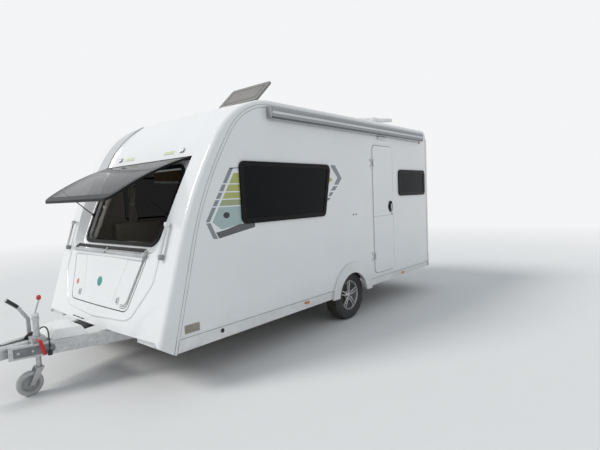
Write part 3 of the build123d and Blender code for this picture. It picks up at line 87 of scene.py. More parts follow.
# The locker lid, narrower below its knee
LID_FOOT, LID_KNEE = 0.614, 1.025
LID_HALF_FOOT, LID_HALF = 0.545, 0.672

# Films, and how far they and other thin sheets stand off what they lie on
FILM, GAP = 0.0006, 0.0002

# The nodes' surfaces, each made when it is first asked for
SKINS = {}


# Tools

def deselect():
    if bpy.context.mode != "OBJECT":
        bpy.ops.object.mode_set(mode="OBJECT")
    bpy.ops.object.select_all(action="DESELECT")


def pick(piece):
    deselect()
    bpy.context.view_layer.objects.active = piece
    piece.select_set(True)


def edit(piece):
    pick(piece)
    bpy.ops.object.mode_set(mode="EDIT")
    bpy.ops.mesh.select_all(action="SELECT")


def leave():
    bpy.ops.object.mode_set(mode="OBJECT")


def settle(piece):
    pick(piece)
    bpy.ops.object.transform_apply(location=True, rotation=True, scale=True)


def select_faces(piece, test):
    edit(piece)
    bpy.ops.mesh.select_mode(type="FACE")
    bpy.ops.mesh.select_all(action="DESELECT")
    leave()
    for face in piece.data.polygons:
        face.select = bool(test(face.center, face.normal))
    bpy.ops.object.mode_set(mode="EDIT")


def modify(piece, kind, **settings):
    pick(piece)
    modifier = piece.modifiers.new(kind.title(), kind)
    for key, value in settings.items():
        setattr(modifier, key, value)
    bpy.ops.object.modifier_apply(modifier=modifier.name)


def soften(piece, width, segments=2, angle=30.0):
    modify(piece, "BEVEL", width=width, segments=segments, limit_method="ANGLE",
           angle_limit=math.radians(angle))


def block(name, low, high, round_edges=0.0, segments=2):
    """A box from its low to its high corner, with rounded edges."""
    deselect()
    middle = [(a + b) / 2 for a, b in zip(low, high)]
    bpy.ops.mesh.primitive_cube_add(size=1.0, location=middle)
    piece = bpy.context.object
    piece.name = name
    piece.scale = [abs(b - a) for a, b in zip(low, high)]
    settle(piece)
    if round_edges:
        soften(piece, round_edges, segments)
    return piece


def disc(name, centre, radius, depth, axis, sides=32, round_edges=0.0):
    """A round plug about an axis through its centre."""
    deselect()
    bpy.ops.mesh.primitive_cylinder_add(vertices=sides, radius=radius, depth=depth, location=centre)
    piece = bpy.context.object
    piece.name = name
    place_along(piece, axis, piece.location)
    if round_edges:
        soften(piece, round_edges, 2, 50.0)
    return piece


def outlined(name, outlines, closed=False, smooth=True, dimensions="3D", **settings):
    """A mesh from straight splines through points, with the curve's settings."""
    curve = bpy.data.curves.new(name, "CURVE")
    curve.dimensions = dimensions
    for key, value in settings.items():
        setattr(curve, key, value)
    for outline in outlines:
        spline = curve.splines.new("POLY")
        spline.points.add(len(outline) - 1)
        for point, place in zip(spline.points, outline):
            point.co = (*place, 1)
        spline.use_cyclic_u = closed
        spline.use_smooth = smooth
    piece = bpy.data.objects.new(name, curve)
    bpy.context.scene.collection.objects.link(piece)
    pick(piece)
    bpy.ops.object.convert(target="MESH")
    return piece


def mend():
    """Merges doubles in the edited piece, turns its normals outward and leaves edit mode."""
    bpy.ops.mesh.select_all(action="SELECT")
    bpy.ops.mesh.remove_doubles(threshold=1e-5)
    bpy.ops.mesh.normals_make_consistent(inside=False)
    leave()


def place_along(piece, axis, centre):
    """Turns a piece's Z to an axis and moves it to a centre."""
    piece.rotation_mode = "QUATERNION"
    piece.rotation_quaternion = Vector(axis).to_track_quat("Z", "Y")
    piece.location = centre
    settle(piece)


def plate(name, outlines, thick, origin, right, up):
    """A sheet from closed outlines of (across, up) points, placed along right and up."""
    piece = outlined(
        name, [[(*point, 0) for point in outline] for outline in outlines], True, dimensions="2D",
        fill_mode="BOTH", extrude=thick / 2)
    edit(piece)
    mend()
    right = Vector(right).normalized()
    up = Vector(up).normalized()
    turn = Matrix((right, up, right.cross(up))).transposed().to_4x4()
    piece.matrix_world = Matrix.Translation(Vector(origin)) @ turn
    settle(piece)
    return piece


def side_film(name, outline, thick=FILM, side=1, proud=GAP):
    """A film on a side wall, from points ahead of the axle and above the ground, in metres."""
    shape = [(AXLE_X + ahead, height) for ahead, height in outline]
    return plate(name, [shape], thick, (0, side * (HALF_W + proud + thick / 2), 0), X, Z)


def bar(name, points, radius, sides=4, closed=False, smooth=True):
    """A round bar or bead along points."""
    return outlined(
        name, [points], closed, smooth, bevel_depth=radius, bevel_resolution=sides, use_fill_caps=True)


def spun(name, section, centre, axis, steps=64):
    """A ring: a closed section of (radius, along) points spun about an axis."""
    piece = outlined(name, [[(radius, 0, along) for radius, along in section]], True)
    edit(piece)
    bpy.ops.mesh.spin(steps=steps, angle=2 * math.pi, center=(0, 0, 0), axis=Z)
    mend()
    place_along(piece, axis, centre)
    return piece


def both_ways(half):
    """A section from its outer half and the same half turned over."""
    return half + [(radius, -along) for radius, along in reversed(half)]


def join(name, pieces):
    deselect()
    for piece in pieces:
        piece.select_set(True)
    bpy.context.view_layer.objects.active = pieces[0]
    bpy.ops.object.join()
    whole = bpy.context.object
    whole.name = name
    return whole


def copied(piece, name):
    other = piece.copy()
    other.data = piece.data.copy()
    other.name = name
    bpy.context.scene.collection.objects.link(other)
    return other


def mirrored(piece, name):
    """A copy on the other side of the caravan."""
    other = copied(piece, name)
    other.scale = (1, -1, 1)
    settle(other)
    edit(other)
    bpy.ops.mesh.normals_make_consistent(inside=False)
    leave()
    return other


def done(piece, finish, angle=35.0, body="body"):
    """Gives a piece its finish and its body, and shades it smooth by angle."""
    piece.data.materials.clear()
    piece.data.materials.append(finish)
    pick(piece)
    bpy.ops.object.shade_smooth_by_angle(angle=math.radians(angle))
    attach(piece, body)


def group(name, pieces, finish, angle=35.0, body="body"):
    """Joins pieces into one and finishes it."""
    done(join(name, pieces), finish, angle, body)


def paint(finish, *names):
    for name in names:
        node = NODES[name]
        if not node.material_slots:
            node.data.materials.append(finish)
        for one in node.material_slots:
            one.material = finish


def bow(y):
    """How far the front face stands ahead of its corners."""
    return BOW * (1 - (y / HALF_W) ** 2)


def face_point(y, z, proud=0.0):
    """A point on the raked and bowed front face, stood off along its normal."""
    x = FACE_FOOT[0] + bow(y) - LEAN * (z - FACE_FOOT[1])
    size = math.hypot(1, LEAN)
    return Vector((x + proud / size, y, z + proud * LEAN / size))


def recess_turn(up):
    return RECESS_LEAN + max(0.0, up - RECESS_FLAT) / RECESS_ROUND


def recess_point(y, up, proud=0.0):
    """A point on the recess floor, up along it from its foot, stood off along its normal."""
    turn = recess_turn(up)
    flat = min(up, RECESS_FLAT)
    run = RECESS_ROUND * (math.cos(turn) - math.cos(RECESS_LEAN)) + proud * math.cos(turn)
    rise = RECESS_ROUND * (math.sin(turn) - math.sin(RECESS_LEAN)) + proud * math.sin(turn)
    x = RECESS_FOOT[0] - flat * math.sin(RECESS_LEAN) + run
    return Vector((x, y, RECESS_FOOT[1] + flat * math.cos(RECESS_LEAN) + rise))


def recess_half(up):
    """Half the width of the recess floor."""
    offset = recess_point(0, up) - recess_point(0, 0)
    along = offset.z * math.cos(RECESS_LEAN) - offset.x * math.sin(RECESS_LEAN)
    out = offset.x * math.cos(RECESS_LEAN) + offset.z * math.sin(RECESS_LEAN)
    return RECESS_HALF + RECESS_SPREAD * along + out


def skin(name, start, towards, proud=0.0):
    """Where a line from start meets a node's surface, stood off from it."""
    if name not in SKINS:
        node = NODES[name]
        points = [node.matrix_world @ one.co for one in node.data.vertices]
        SKINS[name] = BVHTree.FromPolygons(points, [one.vertices for one in node.data.polygons])
    where, normal = SKINS[name].ray_cast(Vector(start), Vector(towards).normalized())[:2]
    return where + normal * proud


def rounded(width, height, radius, steps=6):
    """A closed outline of a rectangle with round corners about its middle."""
    points = []
    for turn, (across, up) in enumerate(((1, 1), (-1, 1), (-1, -1), (1, -1))):
        for step in range(steps + 1):
            angle = math.pi / 2 * (turn + step / steps)
            points.append(
                (across * (width / 2 - radius) + radius * math.cos(angle),
                up * (height / 2 - radius) + radius * math.sin(angle)))
    return points


def oval(centre, half_width, half_height, steps):
    """A closed outline of an oval."""
    turns = [2 * math.pi * step / steps for step in range(steps)]
    return [(centre[0] + half_width * math.cos(turn), centre[1] + half_height * math.sin(turn))
            for turn in turns]


def face_plate(name, outlines, y, z, thick, proud=GAP):
    """A sheet on the front face, from outlines about its own middle."""
    right = (-2 * BOW * y / HALF_W ** 2, 1, 0)
    return plate(name, outlines, thick, face_point(y, z, proud + thick / 2), right, (-LEAN, 0, 1))


def recess_plate(name, outlines, y, up, thick):
    """A sheet on the recess floor, from outlines about its own middle."""
    turn = recess_turn(up)
    foot = recess_point(y, up, GAP + thick / 2)
    return plate(name, outlines, thick, foot, Y, (-math.sin(turn), 0, math.cos(turn)))


def ribbon(name, points, half_width, half_thick):
    """A flat upright strip with round edges along points."""
    return outlined(
        name, [points], twist_mode="Z_UP", extrude=half_width - half_thick, bevel_depth=half_thick,
        bevel_resolution=2, use_fill_caps=True)


# Camera

YAW, PITCH, ROLL = (math.radians(angle) for angle in (220.71, -3.743, -2.243))
CAMERA_AT = (3.626, 4.089, 1.538)
FOCAL_PIXELS, PHOTO_WIDTH, SENSOR = 439.06, 600, 36.0
ahead = Vector((math.cos(YAW) * math.cos(PITCH), math.sin(YAW) * math.cos(PITCH), math.sin(PITCH)))
level = Vector((math.sin(YAW), -math.cos(YAW), 0))
above = level.cross(ahead)
across = level * math.cos(ROLL) + above * math.sin(ROLL)
upward = above * math.cos(ROLL) - level * math.sin(ROLL)
lens = bpy.data.cameras.new("photo_camera")
lens.sensor_width = SENSOR
lens.lens = FOCAL_PIXELS / PHOTO_WIDTH * SENSOR
camera = bpy.data.objects.new("photo_camera", lens)
turned = Matrix((across, upward, -ahead)).transposed().to_4x4()
camera.matrix_world = Matrix.Translation(CAMERA_AT) @ turned
bpy.context.scene.collection.objects.link(camera)
bpy.context.scene.camera = camera


# Lead over the near drawbar member

LEAD_R = 0.0055
LEAD_ROUTE = [
    (3.15, 0.016, 0.4315),
    (3.15, 0.016, 0.478),
    (3.141, 0.042, 0.52),
    (3.124, 0.092, 0.538),
    (3.121, 0.146, 0.53),
    (3.13, 0.194, 0.496),
    (3.136, 0.216, 0.44),
    (3.136, 0.216, 0.366),
]


def lead_spline():
    curve = bpy.data.curves.new("lead", "CURVE")
    curve.dimensions = "3D"
    curve.bevel_depth = LEAD_R
    curve.bevel_resolution = 4
    curve.use_fill_caps = True
    spline = curve.splines.new("NURBS")
    spline.points.add(len(LEAD_ROUTE) - 1)
    for point, place in zip(spline.points, LEAD_ROUTE):
        point.co = (AXLE_X + place[0], place[1], place[2], 1)
    spline.order_u = 3
    spline.use_endpoint_u = True
    spline.resolution_u = 12
    lead = bpy.data.objects.new("lead", curve)
    bpy.context.scene.collection.objects.link(lead)
    return lead


# Finishes

def parts_of(made):
    """A finish's tree, its shader and where a point is in the whole caravan."""
    tree = made.node_tree
    places = [one for one in tree.nodes if one.bl_idname == "ShaderNodeTexCoord"]
    place = (places or [tree.nodes.new("ShaderNodeTexCoord")])[0]
    return tree, tree.nodes["Principled BSDF"], place.outputs["Object"]


def start(name):
    made = bpy.data.materials.new(name)
    made.use_nodes = True
    return made, *parts_of(made)


def feed(tree, node, feeds):
    """Links or sets a node's inputs."""
    for key, value in feeds.items():
        if isinstance(value, bpy.types.NodeSocket):
            tree.links.new(value, node.inputs[key])
        else:
            node.inputs[key].default_value = value


def add(tree, kind, feeds=None, **settings):
    one = tree.nodes.new("ShaderNode" + kind)
    for key, value in settings.items():
        setattr(one, key, value)
    feed(tree, one, feeds or {})
    return one


def sums(tree, operation, a, b=0.5):
    return add(tree, "Math", {0: a, 1: b}, operation=operation).outputs[0]


def span(tree, value, low, high, to_low=0.0, to_high=1.0):
    feeds = {"Value": value, "From Min": low, "From Max": high, "To Min": to_low, "To Max": to_high}
    return add(tree, "MapRange", feeds).outputs["Result"]


def blend_colour(tree, factor, one, other):
    mixed = add(tree, "Mix", {0: factor}, data_type="RGBA")
    for index, value in ((6, one), (7, other)):
        feed(tree, mixed, {index: (*value, 1.0) if isinstance(value, tuple) else value})
    return mixed.outputs[2]


def noise(tree, place, scale, detail=3.0, rough=0.55, stretch=None):
    if stretch:
        place = add(tree, "Mapping", {"Vector": place, "Scale": stretch}).outputs["Vector"]
    feeds = {"Vector": place, "Scale": scale, "Detail": detail, "Roughness": rough}
    return add(tree, "TexNoise", feeds).outputs["Fac"]


def waves(tree, place, count, bent, direction):
    """Straight waves along one direction, count radians of them to a metre."""
    feeds = {"Vector": place, "Scale": count / 6.2832, "Distortion": bent}
    return add(tree, "TexWave", feeds, bands_direction=direction).outputs["Fac"]


def raise_by(tree, shader, height, distance, strength=1.0):
    feeds = {"Height": height, "Distance": distance, "Strength": strength}
    bumped = add(tree, "Bump", feeds)
    before = shader.inputs["Normal"]
    if before.is_linked:
        tree.links.new(before.links[0].from_socket, bumped.inputs["Normal"])
    tree.links.new(bumped.outputs["Normal"], before)


def surface(
        name, dark, light, rough, metallic=0.0, patch=6.0, grain=300.0, distance=0.0002, coat=0.0,
        stretch=None, grime=None, shine=0.5):
    """A finish with patches of tone, a fine grain in gloss and relief, and grime low down."""
    made, tree, shader, place = start(name)
    tone = span(tree, noise(tree, place, patch, 4.0, 0.6, stretch), 0.35, 0.65)
    fine = noise(tree, place, grain, 2.0, 0.5, stretch)
    colour = blend_colour(tree, tone, dark, light)
    gloss = span(tree, fine, 0.3, 0.7, rough[0], rough[1])
    if grime:
        shade, foot, top, most = grime
        height = add(tree, "SeparateXYZ", {"Vector": place}).outputs["Z"]
        low = span(tree, height, top, foot)
        spots = span(tree, noise(tree, place, 14.0, 5.0, 0.65), 0.35, 0.75)
        dirt = sums(tree, "MULTIPLY", sums(tree, "MULTIPLY", low, spots), most)
        colour = blend_colour(tree, dirt, colour, shade)
        gloss = sums(tree, "ADD", gloss, sums(tree, "MULTIPLY", dirt, 0.4))
    feed(tree, shader, {"Base Color": colour, "Roughness": gloss, "Metallic": metallic, "Coat Weight": coat,
         "Coat Roughness": 0.05, "Specular IOR Level": shine})
    raise_by(tree, shader, fine, distance)
    return made


DUST = (0.3, 0.27, 0.22)
SOIL = (0.16, 0.13, 0.09)


def white_panel(name):
    """Glossy white skin: faint waves in the sheet and dust low down."""
    light = (0.8, 0.81, 0.815)
    dark = tuple(0.97 * part for part in light)
    made = surface(
        name, dark, light, (0.1, 0.17), patch=1.6, grain=500.0, distance=0.00004, coat=0.6,
        grime=(DUST, 0.3, 0.62, 0.22))
    tree, shader, place = parts_of(made)
    raise_by(tree, shader, noise(tree, place, 2.2, 1.0, 0.4), 0.004, 0.35)
    return made


def wall_panel():
    """The side walls: white skin outside, pale board inside."""
    made = white_panel("wall_skin")
    tree, shader, place = parts_of(made)
    across = add(tree, "SeparateXYZ", {"Vector": place}).outputs["Y"]
    inside = sums(tree, "LESS_THAN", sums(tree, "ABSOLUTE", across), HALF_W - 0.012)
    colour, gloss = [shader.inputs[key].links[0].from_socket for key in ("Base Color", "Roughness")]
    board = blend_colour(tree, noise(tree, place, 60.0, 4.0), (0.5, 0.46, 0.38), (0.58, 0.54, 0.46))
    feed(tree, shader, {"Base Color": blend_colour(tree, inside, colour, board),
         "Roughness": sums(tree, "MAXIMUM", gloss, sums(tree, "MULTIPLY", inside, 0.5))})
    return made


def tinted(name, colour, amount, rough=0.04, shine=0.16):
    """Smoked acrylic: a glossy see-through sheet with faint wipe marks."""
    made, tree, shader, place = start(name)
    wipes = noise(tree, place, 5.0, 4.0, 0.6, (1.0, 1.0, 2.5))
    feed(tree, shader, {"Roughness": span(tree, wipes, 0.3, 0.7, rough, rough + 0.05), "Alpha": amount,
         "Base Color": blend_colour(tree, wipes, colour, tuple(1.25 * part for part in colour)),
         "IOR": 1.49, "Specular IOR Level": shine})
    raise_by(tree, shader, noise(tree, place, 3.0, 1.0), 0.002, 0.25)
    return made


def lens_plastic(name, deep, bright, ribs, direction):
    """Moulded lamp lens with fine ribs behind a clear face."""
    made, tree, shader, place = start(name)
    bands = waves(tree, place, ribs, 0.0, direction)
    patches = noise(tree, place, 25.0, 3.0)
    both = sums(tree, "MULTIPLY", bands, span(tree, patches, 0.2, 0.8, 0.6, 1.0))
    feed(tree, shader, {"Base Color": blend_colour(tree, both, deep, bright), "Coat Weight": 1.0,
         "Roughness": span(tree, patches, 0.3, 0.7, 0.06, 0.14), "Subsurface Weight": 0.15,
         "Subsurface Radius": (0.01, 0.006, 0.004)})
    raise_by(tree, shader, bands, 0.0008, 0.5)
    return made


def galvanised_steel():
    """Hot-dip zinc: dull spangle, white bloom and soil low down."""
    made, tree, shader, place = start("galvanised_steel")
    spangle = add(tree, "TexVoronoi", {"Vector": place, "Scale": 70.0}).outputs["Color"]
    grey = add(tree, "SeparateColor", {"Color": spangle}).outputs[0]
    bloom = noise(tree, place, 9.0, 6.0, 0.7)
    tone = span(tree, sums(tree, "ADD", sums(tree, "MULTIPLY", grey, 0.35), bloom), 0.35, 1.0)
    colour = blend_colour(tree, tone, (0.42, 0.435, 0.44), (0.64, 0.655, 0.66))
    height = add(tree, "SeparateXYZ", {"Vector": place}).outputs["Z"]
    low = sums(tree, "MULTIPLY", span(tree, height, 0.34, 0.05), span(tree, bloom, 0.4, 0.7, 0.2, 0.8))
    feed(tree, shader, {"Base Color": blend_colour(tree, low, colour, SOIL), "Metallic": 0.75,
         "Roughness": span(tree, tone, 0.0, 1.0, 0.36, 0.58)})
    raise_by(tree, shader, grey, 0.0003, 0.4)
    raise_by(tree, shader, bloom, 0.001, 0.3)
    return made


def tyre_rubber():
    """Black rubber, dusty on the tread and in the sidewall's lines."""
    made, tree, shader, place = start("tyre_rubber")
    axis = add(tree, "Mapping", {"Vector": place, "Location": (-AXLE_X, 0.0, -WHEEL_Z)}).outputs["Vector"]
    parts = add(tree, "SeparateXYZ", {"Vector": axis})
    flat = add(tree, "CombineXYZ", {"X": parts.outputs["X"], "Y": 0.0, "Z": parts.outputs["Z"]}).outputs[0]
    radius = add(tree, "VectorMath", {0: flat}, operation="LENGTH").outputs["Value"]
    dust = noise(tree, place, 11.0, 5.0, 0.65)
    tread = sums(tree, "MULTIPLY", span(tree, radius, 0.275, 0.293), span(tree, dust, 0.35, 0.7, 0.3, 1.0))
    colour = blend_colour(tree, tread, (0.016, 0.016, 0.017), (0.085, 0.078, 0.066))
    colour = blend_colour(tree, sums(tree, "MULTIPLY", dust, 0.25), colour, (0.07, 0.065, 0.06))
    fine = noise(tree, place, 420.0, 3.0)
    feed(tree, shader, {"Base Color": colour, "Roughness": span(tree, fine, 0.3, 0.7, 0.55, 0.78)})
    raise_by(tree, shader, sums(tree, "SINE", sums(tree, "MULTIPLY", radius, 1100.0)), 0.0003, 0.35)
    raise_by(tree, shader, fine, 0.0003, 0.5)
    return made


def woven(name, warp, weft, threads=900.0):
    """Cloth with crossing threads and soft shading between them."""
    made, tree, shader, place = start(name)
    one, two, side = [waves(tree, place, threads, 0.4, direction) for direction in "XZY"]
    weave = sums(tree, "MULTIPLY", sums(tree, "ADD", one, side), two)
    patches = noise(tree, place, 9.0, 4.0, 0.6)
    colour = blend_colour(tree, span(tree, weave, 0.0, 1.6), warp, weft)
    worn = span(tree, patches, 0.4, 0.9, 0.0, 0.5)
    feed(tree, shader, {"Base Color": blend_colour(tree, worn, colour, tuple(0.8 * part for part in warp)),
         "Roughness": span(tree, patches, 0.2, 0.8, 0.75, 0.95), "Sheen Weight": 0.3,
         "Sheen Roughness": 0.5})
    raise_by(tree, shader, weave, 0.0006, 0.6)
    return made


def wood_print(name, dark, light):
    """Printed furniture board with straight grain."""
    made, tree, shader, place = start(name)
    rings = noise(tree, place, 6.0, 6.0, 0.65, (9.0, 9.0, 0.7))
    pores = noise(tree, place, 90.0, 3.0, 0.6, (6.0, 6.0, 0.5))
    colour = blend_colour(tree, span(tree, rings, 0.35, 0.65), dark, light)
    open_pores = span(tree, pores, 0.6, 0.8, 0.0, 0.35)
    colour = blend_colour(tree, open_pores, colour, tuple(0.6 * part for part in dark))
    feed(tree, shader, {"Base Color": colour, "Roughness": span(tree, pores, 0.2, 0.8, 0.32, 0.5)})
    raise_by(tree, shader, pores, 0.0003, 0.4)
    return made


def film(name, colour):
    """Vinyl film: an even colour with a soft gloss and a faint fine relief."""
    return surface(
        name, tuple(0.93 * part for part in colour), colour, (0.2, 0.3), patch=10.0, grain=650.0,
        distance=0.00008, coat=0.25)


WHITE_SKIN = white_panel("white_skin")
WALL_SKIN = wall_panel()
WHITE_MOULDING = surface(
    "white_moulding", (0.72, 0.73, 0.73), (0.79, 0.8, 0.8), (0.2, 0.3), patch=3.0, grain=700.0,
    distance=0.0001, coat=0.3, grime=(DUST, 0.28, 0.55, 0.45))
WHITE_TRIM = surface(
    "white_trim", (0.74, 0.75, 0.75), (0.8, 0.81, 0.81), (0.25, 0.35), patch=5.0, grain=600.0,
    distance=0.0001)
BLACK_FRAME = surface(
    "black_frame", (0.004, 0.004, 0.005), (0.009, 0.009, 0.01), (0.3, 0.42), patch=9.0, grain=500.0,
    distance=0.0002, shine=0.12)
BLACK_RUBBER = surface(
    "black_rubber", (0.012, 0.012, 0.012), (0.03, 0.03, 0.029), (0.5, 0.7), patch=12.0, grain=350.0,
    distance=0.0003)
BLACK_PLASTIC = surface(
    "black_plastic", (0.013, 0.013, 0.014), (0.028, 0.028, 0.029), (0.38, 0.52), patch=8.0, grain=800.0,
    distance=0.0003, grime=(DUST, 0.1, 0.5, 0.3))
SMOKED = tinted("smoked_pane", (0.004, 0.005, 0.006), 0.88, 0.03, 0.1)
SMOKED_THIN = tinted("smoked_pane_open", (0.018, 0.021, 0.024), 0.72)
SKY_ACRYLIC = tinted("skylight_acrylic", (0.2, 0.19, 0.175), 0.82, 0.12)
SILVER_ANODISED = surface(
    "silver_anodised", (0.5, 0.51, 0.52), (0.62, 0.63, 0.64), (0.26, 0.36), 0.85, patch=4.0, grain=900.0,
    distance=0.00006, stretch=(0.08, 1.0, 1.0))
AWNING_SILVER = surface(
    "awning_silver", (0.2, 0.215, 0.23), (0.28, 0.295, 0.31), (0.2, 0.28), 0.88, patch=3.0, grain=900.0,
    distance=0.00006, stretch=(0.05, 1.0, 1.0))
SILVER_PAINT = surface(
    "silver_wheel_paint", (0.5, 0.51, 0.525), (0.6, 0.61, 0.625), (0.24, 0.33), 0.75, patch=7.0,
    grain=1500.0, distance=0.00006, coat=0.8, grime=(DUST, 0.02, 0.4, 0.35))
FLY_SCREEN = woven("fly_screen", (0.02, 0.021, 0.022), (0.055, 0.057, 0.06), 700.0)
GREY_LEVER = surface(
    "grey_lever", (0.42, 0.43, 0.44), (0.52, 0.53, 0.54), (0.3, 0.42), 0.6, patch=15.0, grain=700.0,
    distance=0.0002)
GALVANISED = galvanised_steel()
DARK_STEEL = surface(
    "dark_steel", (0.05, 0.05, 0.05), (0.12, 0.11, 0.1), (0.45, 0.65), 0.6, patch=14.0, grain=260.0,
    distance=0.0008, grime=((0.12, 0.06, 0.03), 0.0, 0.5, 0.6))
# Darker grey steel for the drawbar gussets: painted shade, darker than the drawbar's galvanised steel.
GUSSET_PAINTED_SHADE = surface(
    "gusset_painted_shade", (0.16, 0.17, 0.18), (0.25, 0.26, 0.27), (0.4, 0.55), 0.7, patch=12.0, grain=300.0,
    distance=0.0005)
TYRE = tyre_rubber()
SAND_PLASTIC = surface(
    "sand_plastic", (0.3, 0.28, 0.23), (0.38, 0.355, 0.3), (0.42, 0.55), patch=16.0, grain=600.0,
    distance=0.0003, grime=(DUST, 0.4, 0.6, 0.4))
RED_PLASTIC = surface(
    "red_plastic", (0.5, 0.015, 0.012), (0.62, 0.025, 0.02), (0.3, 0.42), patch=18.0, grain=600.0,
    distance=0.0002, coat=0.2)
GREY_PLASTIC = surface(
    "grey_plastic", (0.26, 0.27, 0.28), (0.34, 0.35, 0.36), (0.42, 0.55), patch=16.0, grain=600.0,
    distance=0.0003, grime=(DUST, 0.0, 0.3, 0.5))
JOCKEY_RUBBER = surface(
    "jockey_tread", (0.42, 0.43, 0.43), (0.52, 0.53, 0.53), (0.55, 0.7), patch=20.0, grain=400.0,
    distance=0.0005, grime=(SOIL, 0.0, 0.2, 0.7))
RED_LENS = lens_plastic("red_lens", (0.16, 0.004, 0.004), (0.52, 0.015, 0.012), 700.0, "Y")
AMBER_LENS = lens_plastic("amber_lens", (0.5, 0.12, 0.01), (0.86, 0.34, 0.03), 900.0, "X")
CLEAR_LENS = lens_plastic("clear_lens", (0.52, 0.53, 0.54), (0.8, 0.81, 0.81), 600.0, "Y")
CUSHION = woven("cushion_cloth", (0.5, 0.44, 0.35), (0.66, 0.6, 0.5))
CURTAIN = woven("curtain_cloth", (0.56, 0.53, 0.45), (0.7, 0.67, 0.58), 1300.0)
CUSHION_WELT = woven("cushion_welt", (0.3, 0.25, 0.19), (0.4, 0.34, 0.27))
BOARD = wood_print("furniture_board", (0.2, 0.13, 0.075), (0.34, 0.235, 0.145))
FLOOR_PLY = wood_print("floor_ply", (0.1, 0.075, 0.05), (0.17, 0.13, 0.09))
PARTITION = wood_print("partition_board", (0.42, 0.36, 0.27), (0.52, 0.46, 0.36))

TEAL_FILM = film("film_teal", (0.01, 0.27, 0.23))
ORANGE_FILM = film("film_orange", (0.72, 0.1, 0.05))
PALE_GREEN_FILM = film("film_pale_green", (0.6, 0.68, 0.34))
OLIVE_FILM = film("film_olive", (0.33, 0.37, 0.1))
LIME_FILM = film("film_lime", (0.42, 0.44, 0.13))
MOSS_FILM = film("film_moss", (0.32, 0.38, 0.2))
SEA_FILM = film("film_sea", (0.37, 0.48, 0.47))
SLATE_FILM = film("film_slate", (0.23, 0.262, 0.285))
GRAPHITE_FILM = film("film_graphite", (0.085, 0.092, 0.096))
BLACK_FILM = film("film_black", (0.012, 0.013, 0.016))

paint(WALL_SKIN, "wall_left", "wall_right")
paint(WHITE_SKIN, "front_panel", "roof", "rear_panel", "front_lid", "door", "fairing")
paint(WHITE_MOULDING, "skirts", "arch_mouldings", "rear_bumper")
paint(WHITE_TRIM, "antenna", "sky_frame", "lid_locks")
paint(BLACK_FRAME, "window_rims", "front_pane_rim", "opening_rim", "door_handle", "pane_stays")
paint(SMOKED, "window_panes")
paint(SMOKED_THIN, "front_pane")
paint(SKY_ACRYLIC, "sky_lid")
paint(SILVER_ANODISED, "lid_rail", "grab_handles")
paint(AWNING_SILVER, "awning_case")
paint(SILVER_PAINT, "rim_left", "rim_right")
paint(GREY_LEVER, "levers", "hinge_brackets")
paint(GALVANISED, "chassis_rails", "drawbar", "overrun_housing", "coupling_head", "jockey_clamp",
      "jockey_tube", "jockey_leg", "jockey_fork", "jockey_crank", "steady_brackets", "steady_front_left",
      "steady_front_right", "steady_rear_left", "steady_rear_right")
paint(DARK_STEEL, "axle")
paint(TYRE, "tyre_left", "tyre_right")
paint(RED_PLASTIC, "clamp_lever")
paint(JOCKEY_RUBBER, "jockey_wheel")
paint(BLACK_RUBBER, "lead_cord", "lead_ends")
paint(BLACK_PLASTIC, "wheel_boxes")
paint(RED_LENS, "rear_lamps")
paint(AMBER_LENS, "side_markers")
paint(CLEAR_LENS, "front_lamps")
paint(CUSHION, "seat_cushions")
paint(CURTAIN, "curtains")
paint(BOARD, "furniture")
paint(FLOOR_PLY, "floor")
paint(PARTITION, "partition")


# Floor, backdrop and soft light

BACKDROP = (0.9, 0.91, 0.92)


def seen_rays(tree):
    path = add(tree, "LightPath")
    seen = sums(tree, "MAXIMUM", path.outputs["Is Camera Ray"], path.outputs["Is Glossy Ray"])
    return sums(tree, "MAXIMUM", seen, path.outputs["Is Transmission Ray"])


def stage_floor():
    """A pale floor that keeps the shadow near the caravan and runs into the backdrop further off."""
    deselect()
    bpy.ops.mesh.primitive_plane_add(size=240.0, location=(0, 0, 0))
    floor = bpy.context.object
    floor.name = "studio_floor"
    settle(floor)
    made, tree, shader, place = start("studio_floor")
    tone = blend_colour(tree, noise(tree, place, 3.0, 2.0), (0.77, 0.77, 0.765), (0.79, 0.79, 0.785))
    feed(tree, shader, {"Base Color": tone, "Roughness": 0.9, "Specular IOR Level": 0.1})
    away = add(tree, "VectorMath", {0: place}, operation="LENGTH").outputs["Value"]
    far = sums(tree, "MULTIPLY", span(tree, away, 6.0, 16.0), seen_rays(tree))
    glow = add(tree, "Emission", {"Color": (*BACKDROP, 1.0), "Strength": 1.0})
    both = add(tree, "MixShader", {0: far, 1: shader.outputs[0], 2: glow.outputs[0]})
    tree.links.new(both.outputs[0], tree.nodes["Material Output"].inputs["Surface"])
    floor.data.materials.append(made)


def studio_light():
    world = bpy.data.worlds.new("studio")
    bpy.context.scene.world = world
    world.use_nodes = True
    tree = world.node_tree
    tree.nodes.clear()
    soft = add(tree, "Background", {"Color": (0.84, 0.9, 0.96, 1.0), "Strength": 0.58})
    plain = add(tree, "Background", {"Color": (*BACKDROP, 1.0), "Strength": 1.0})
    both = add(tree, "MixShader", {0: seen_rays(tree), 1: soft.outputs[0], 2: plain.outputs[0]})
    out = tree.nodes.new("ShaderNodeOutputWorld")
    tree.links.new(both.outputs[0], out.inputs["Surface"])
    lamps = [
        ("key_lamp", (0.7, -0.42, 0.72), 1.75, 22.0, (1.0, 0.985, 0.955)),
        ("side_lamp", (0.3, 0.85, 0.6), 0.2, 50.0, (0.96, 0.98, 1.0)),
    ]
    for name, side, power, angle, colour in lamps:
        lamp = bpy.data.lights.new(name, "SUN")
        lamp.energy = power
        lamp.angle = math.radians(angle)
        lamp.color = colour
        holder = bpy.data.objects.new(name, lamp)
        holder.location = Vector(side) * 10
        holder.rotation_mode = "QUATERNION"
        holder.rotation_quaternion = Vector(side).to_track_quat("Z", "Y")
        bpy.context.scene.collection.objects.link(holder)


# Lead and its ends

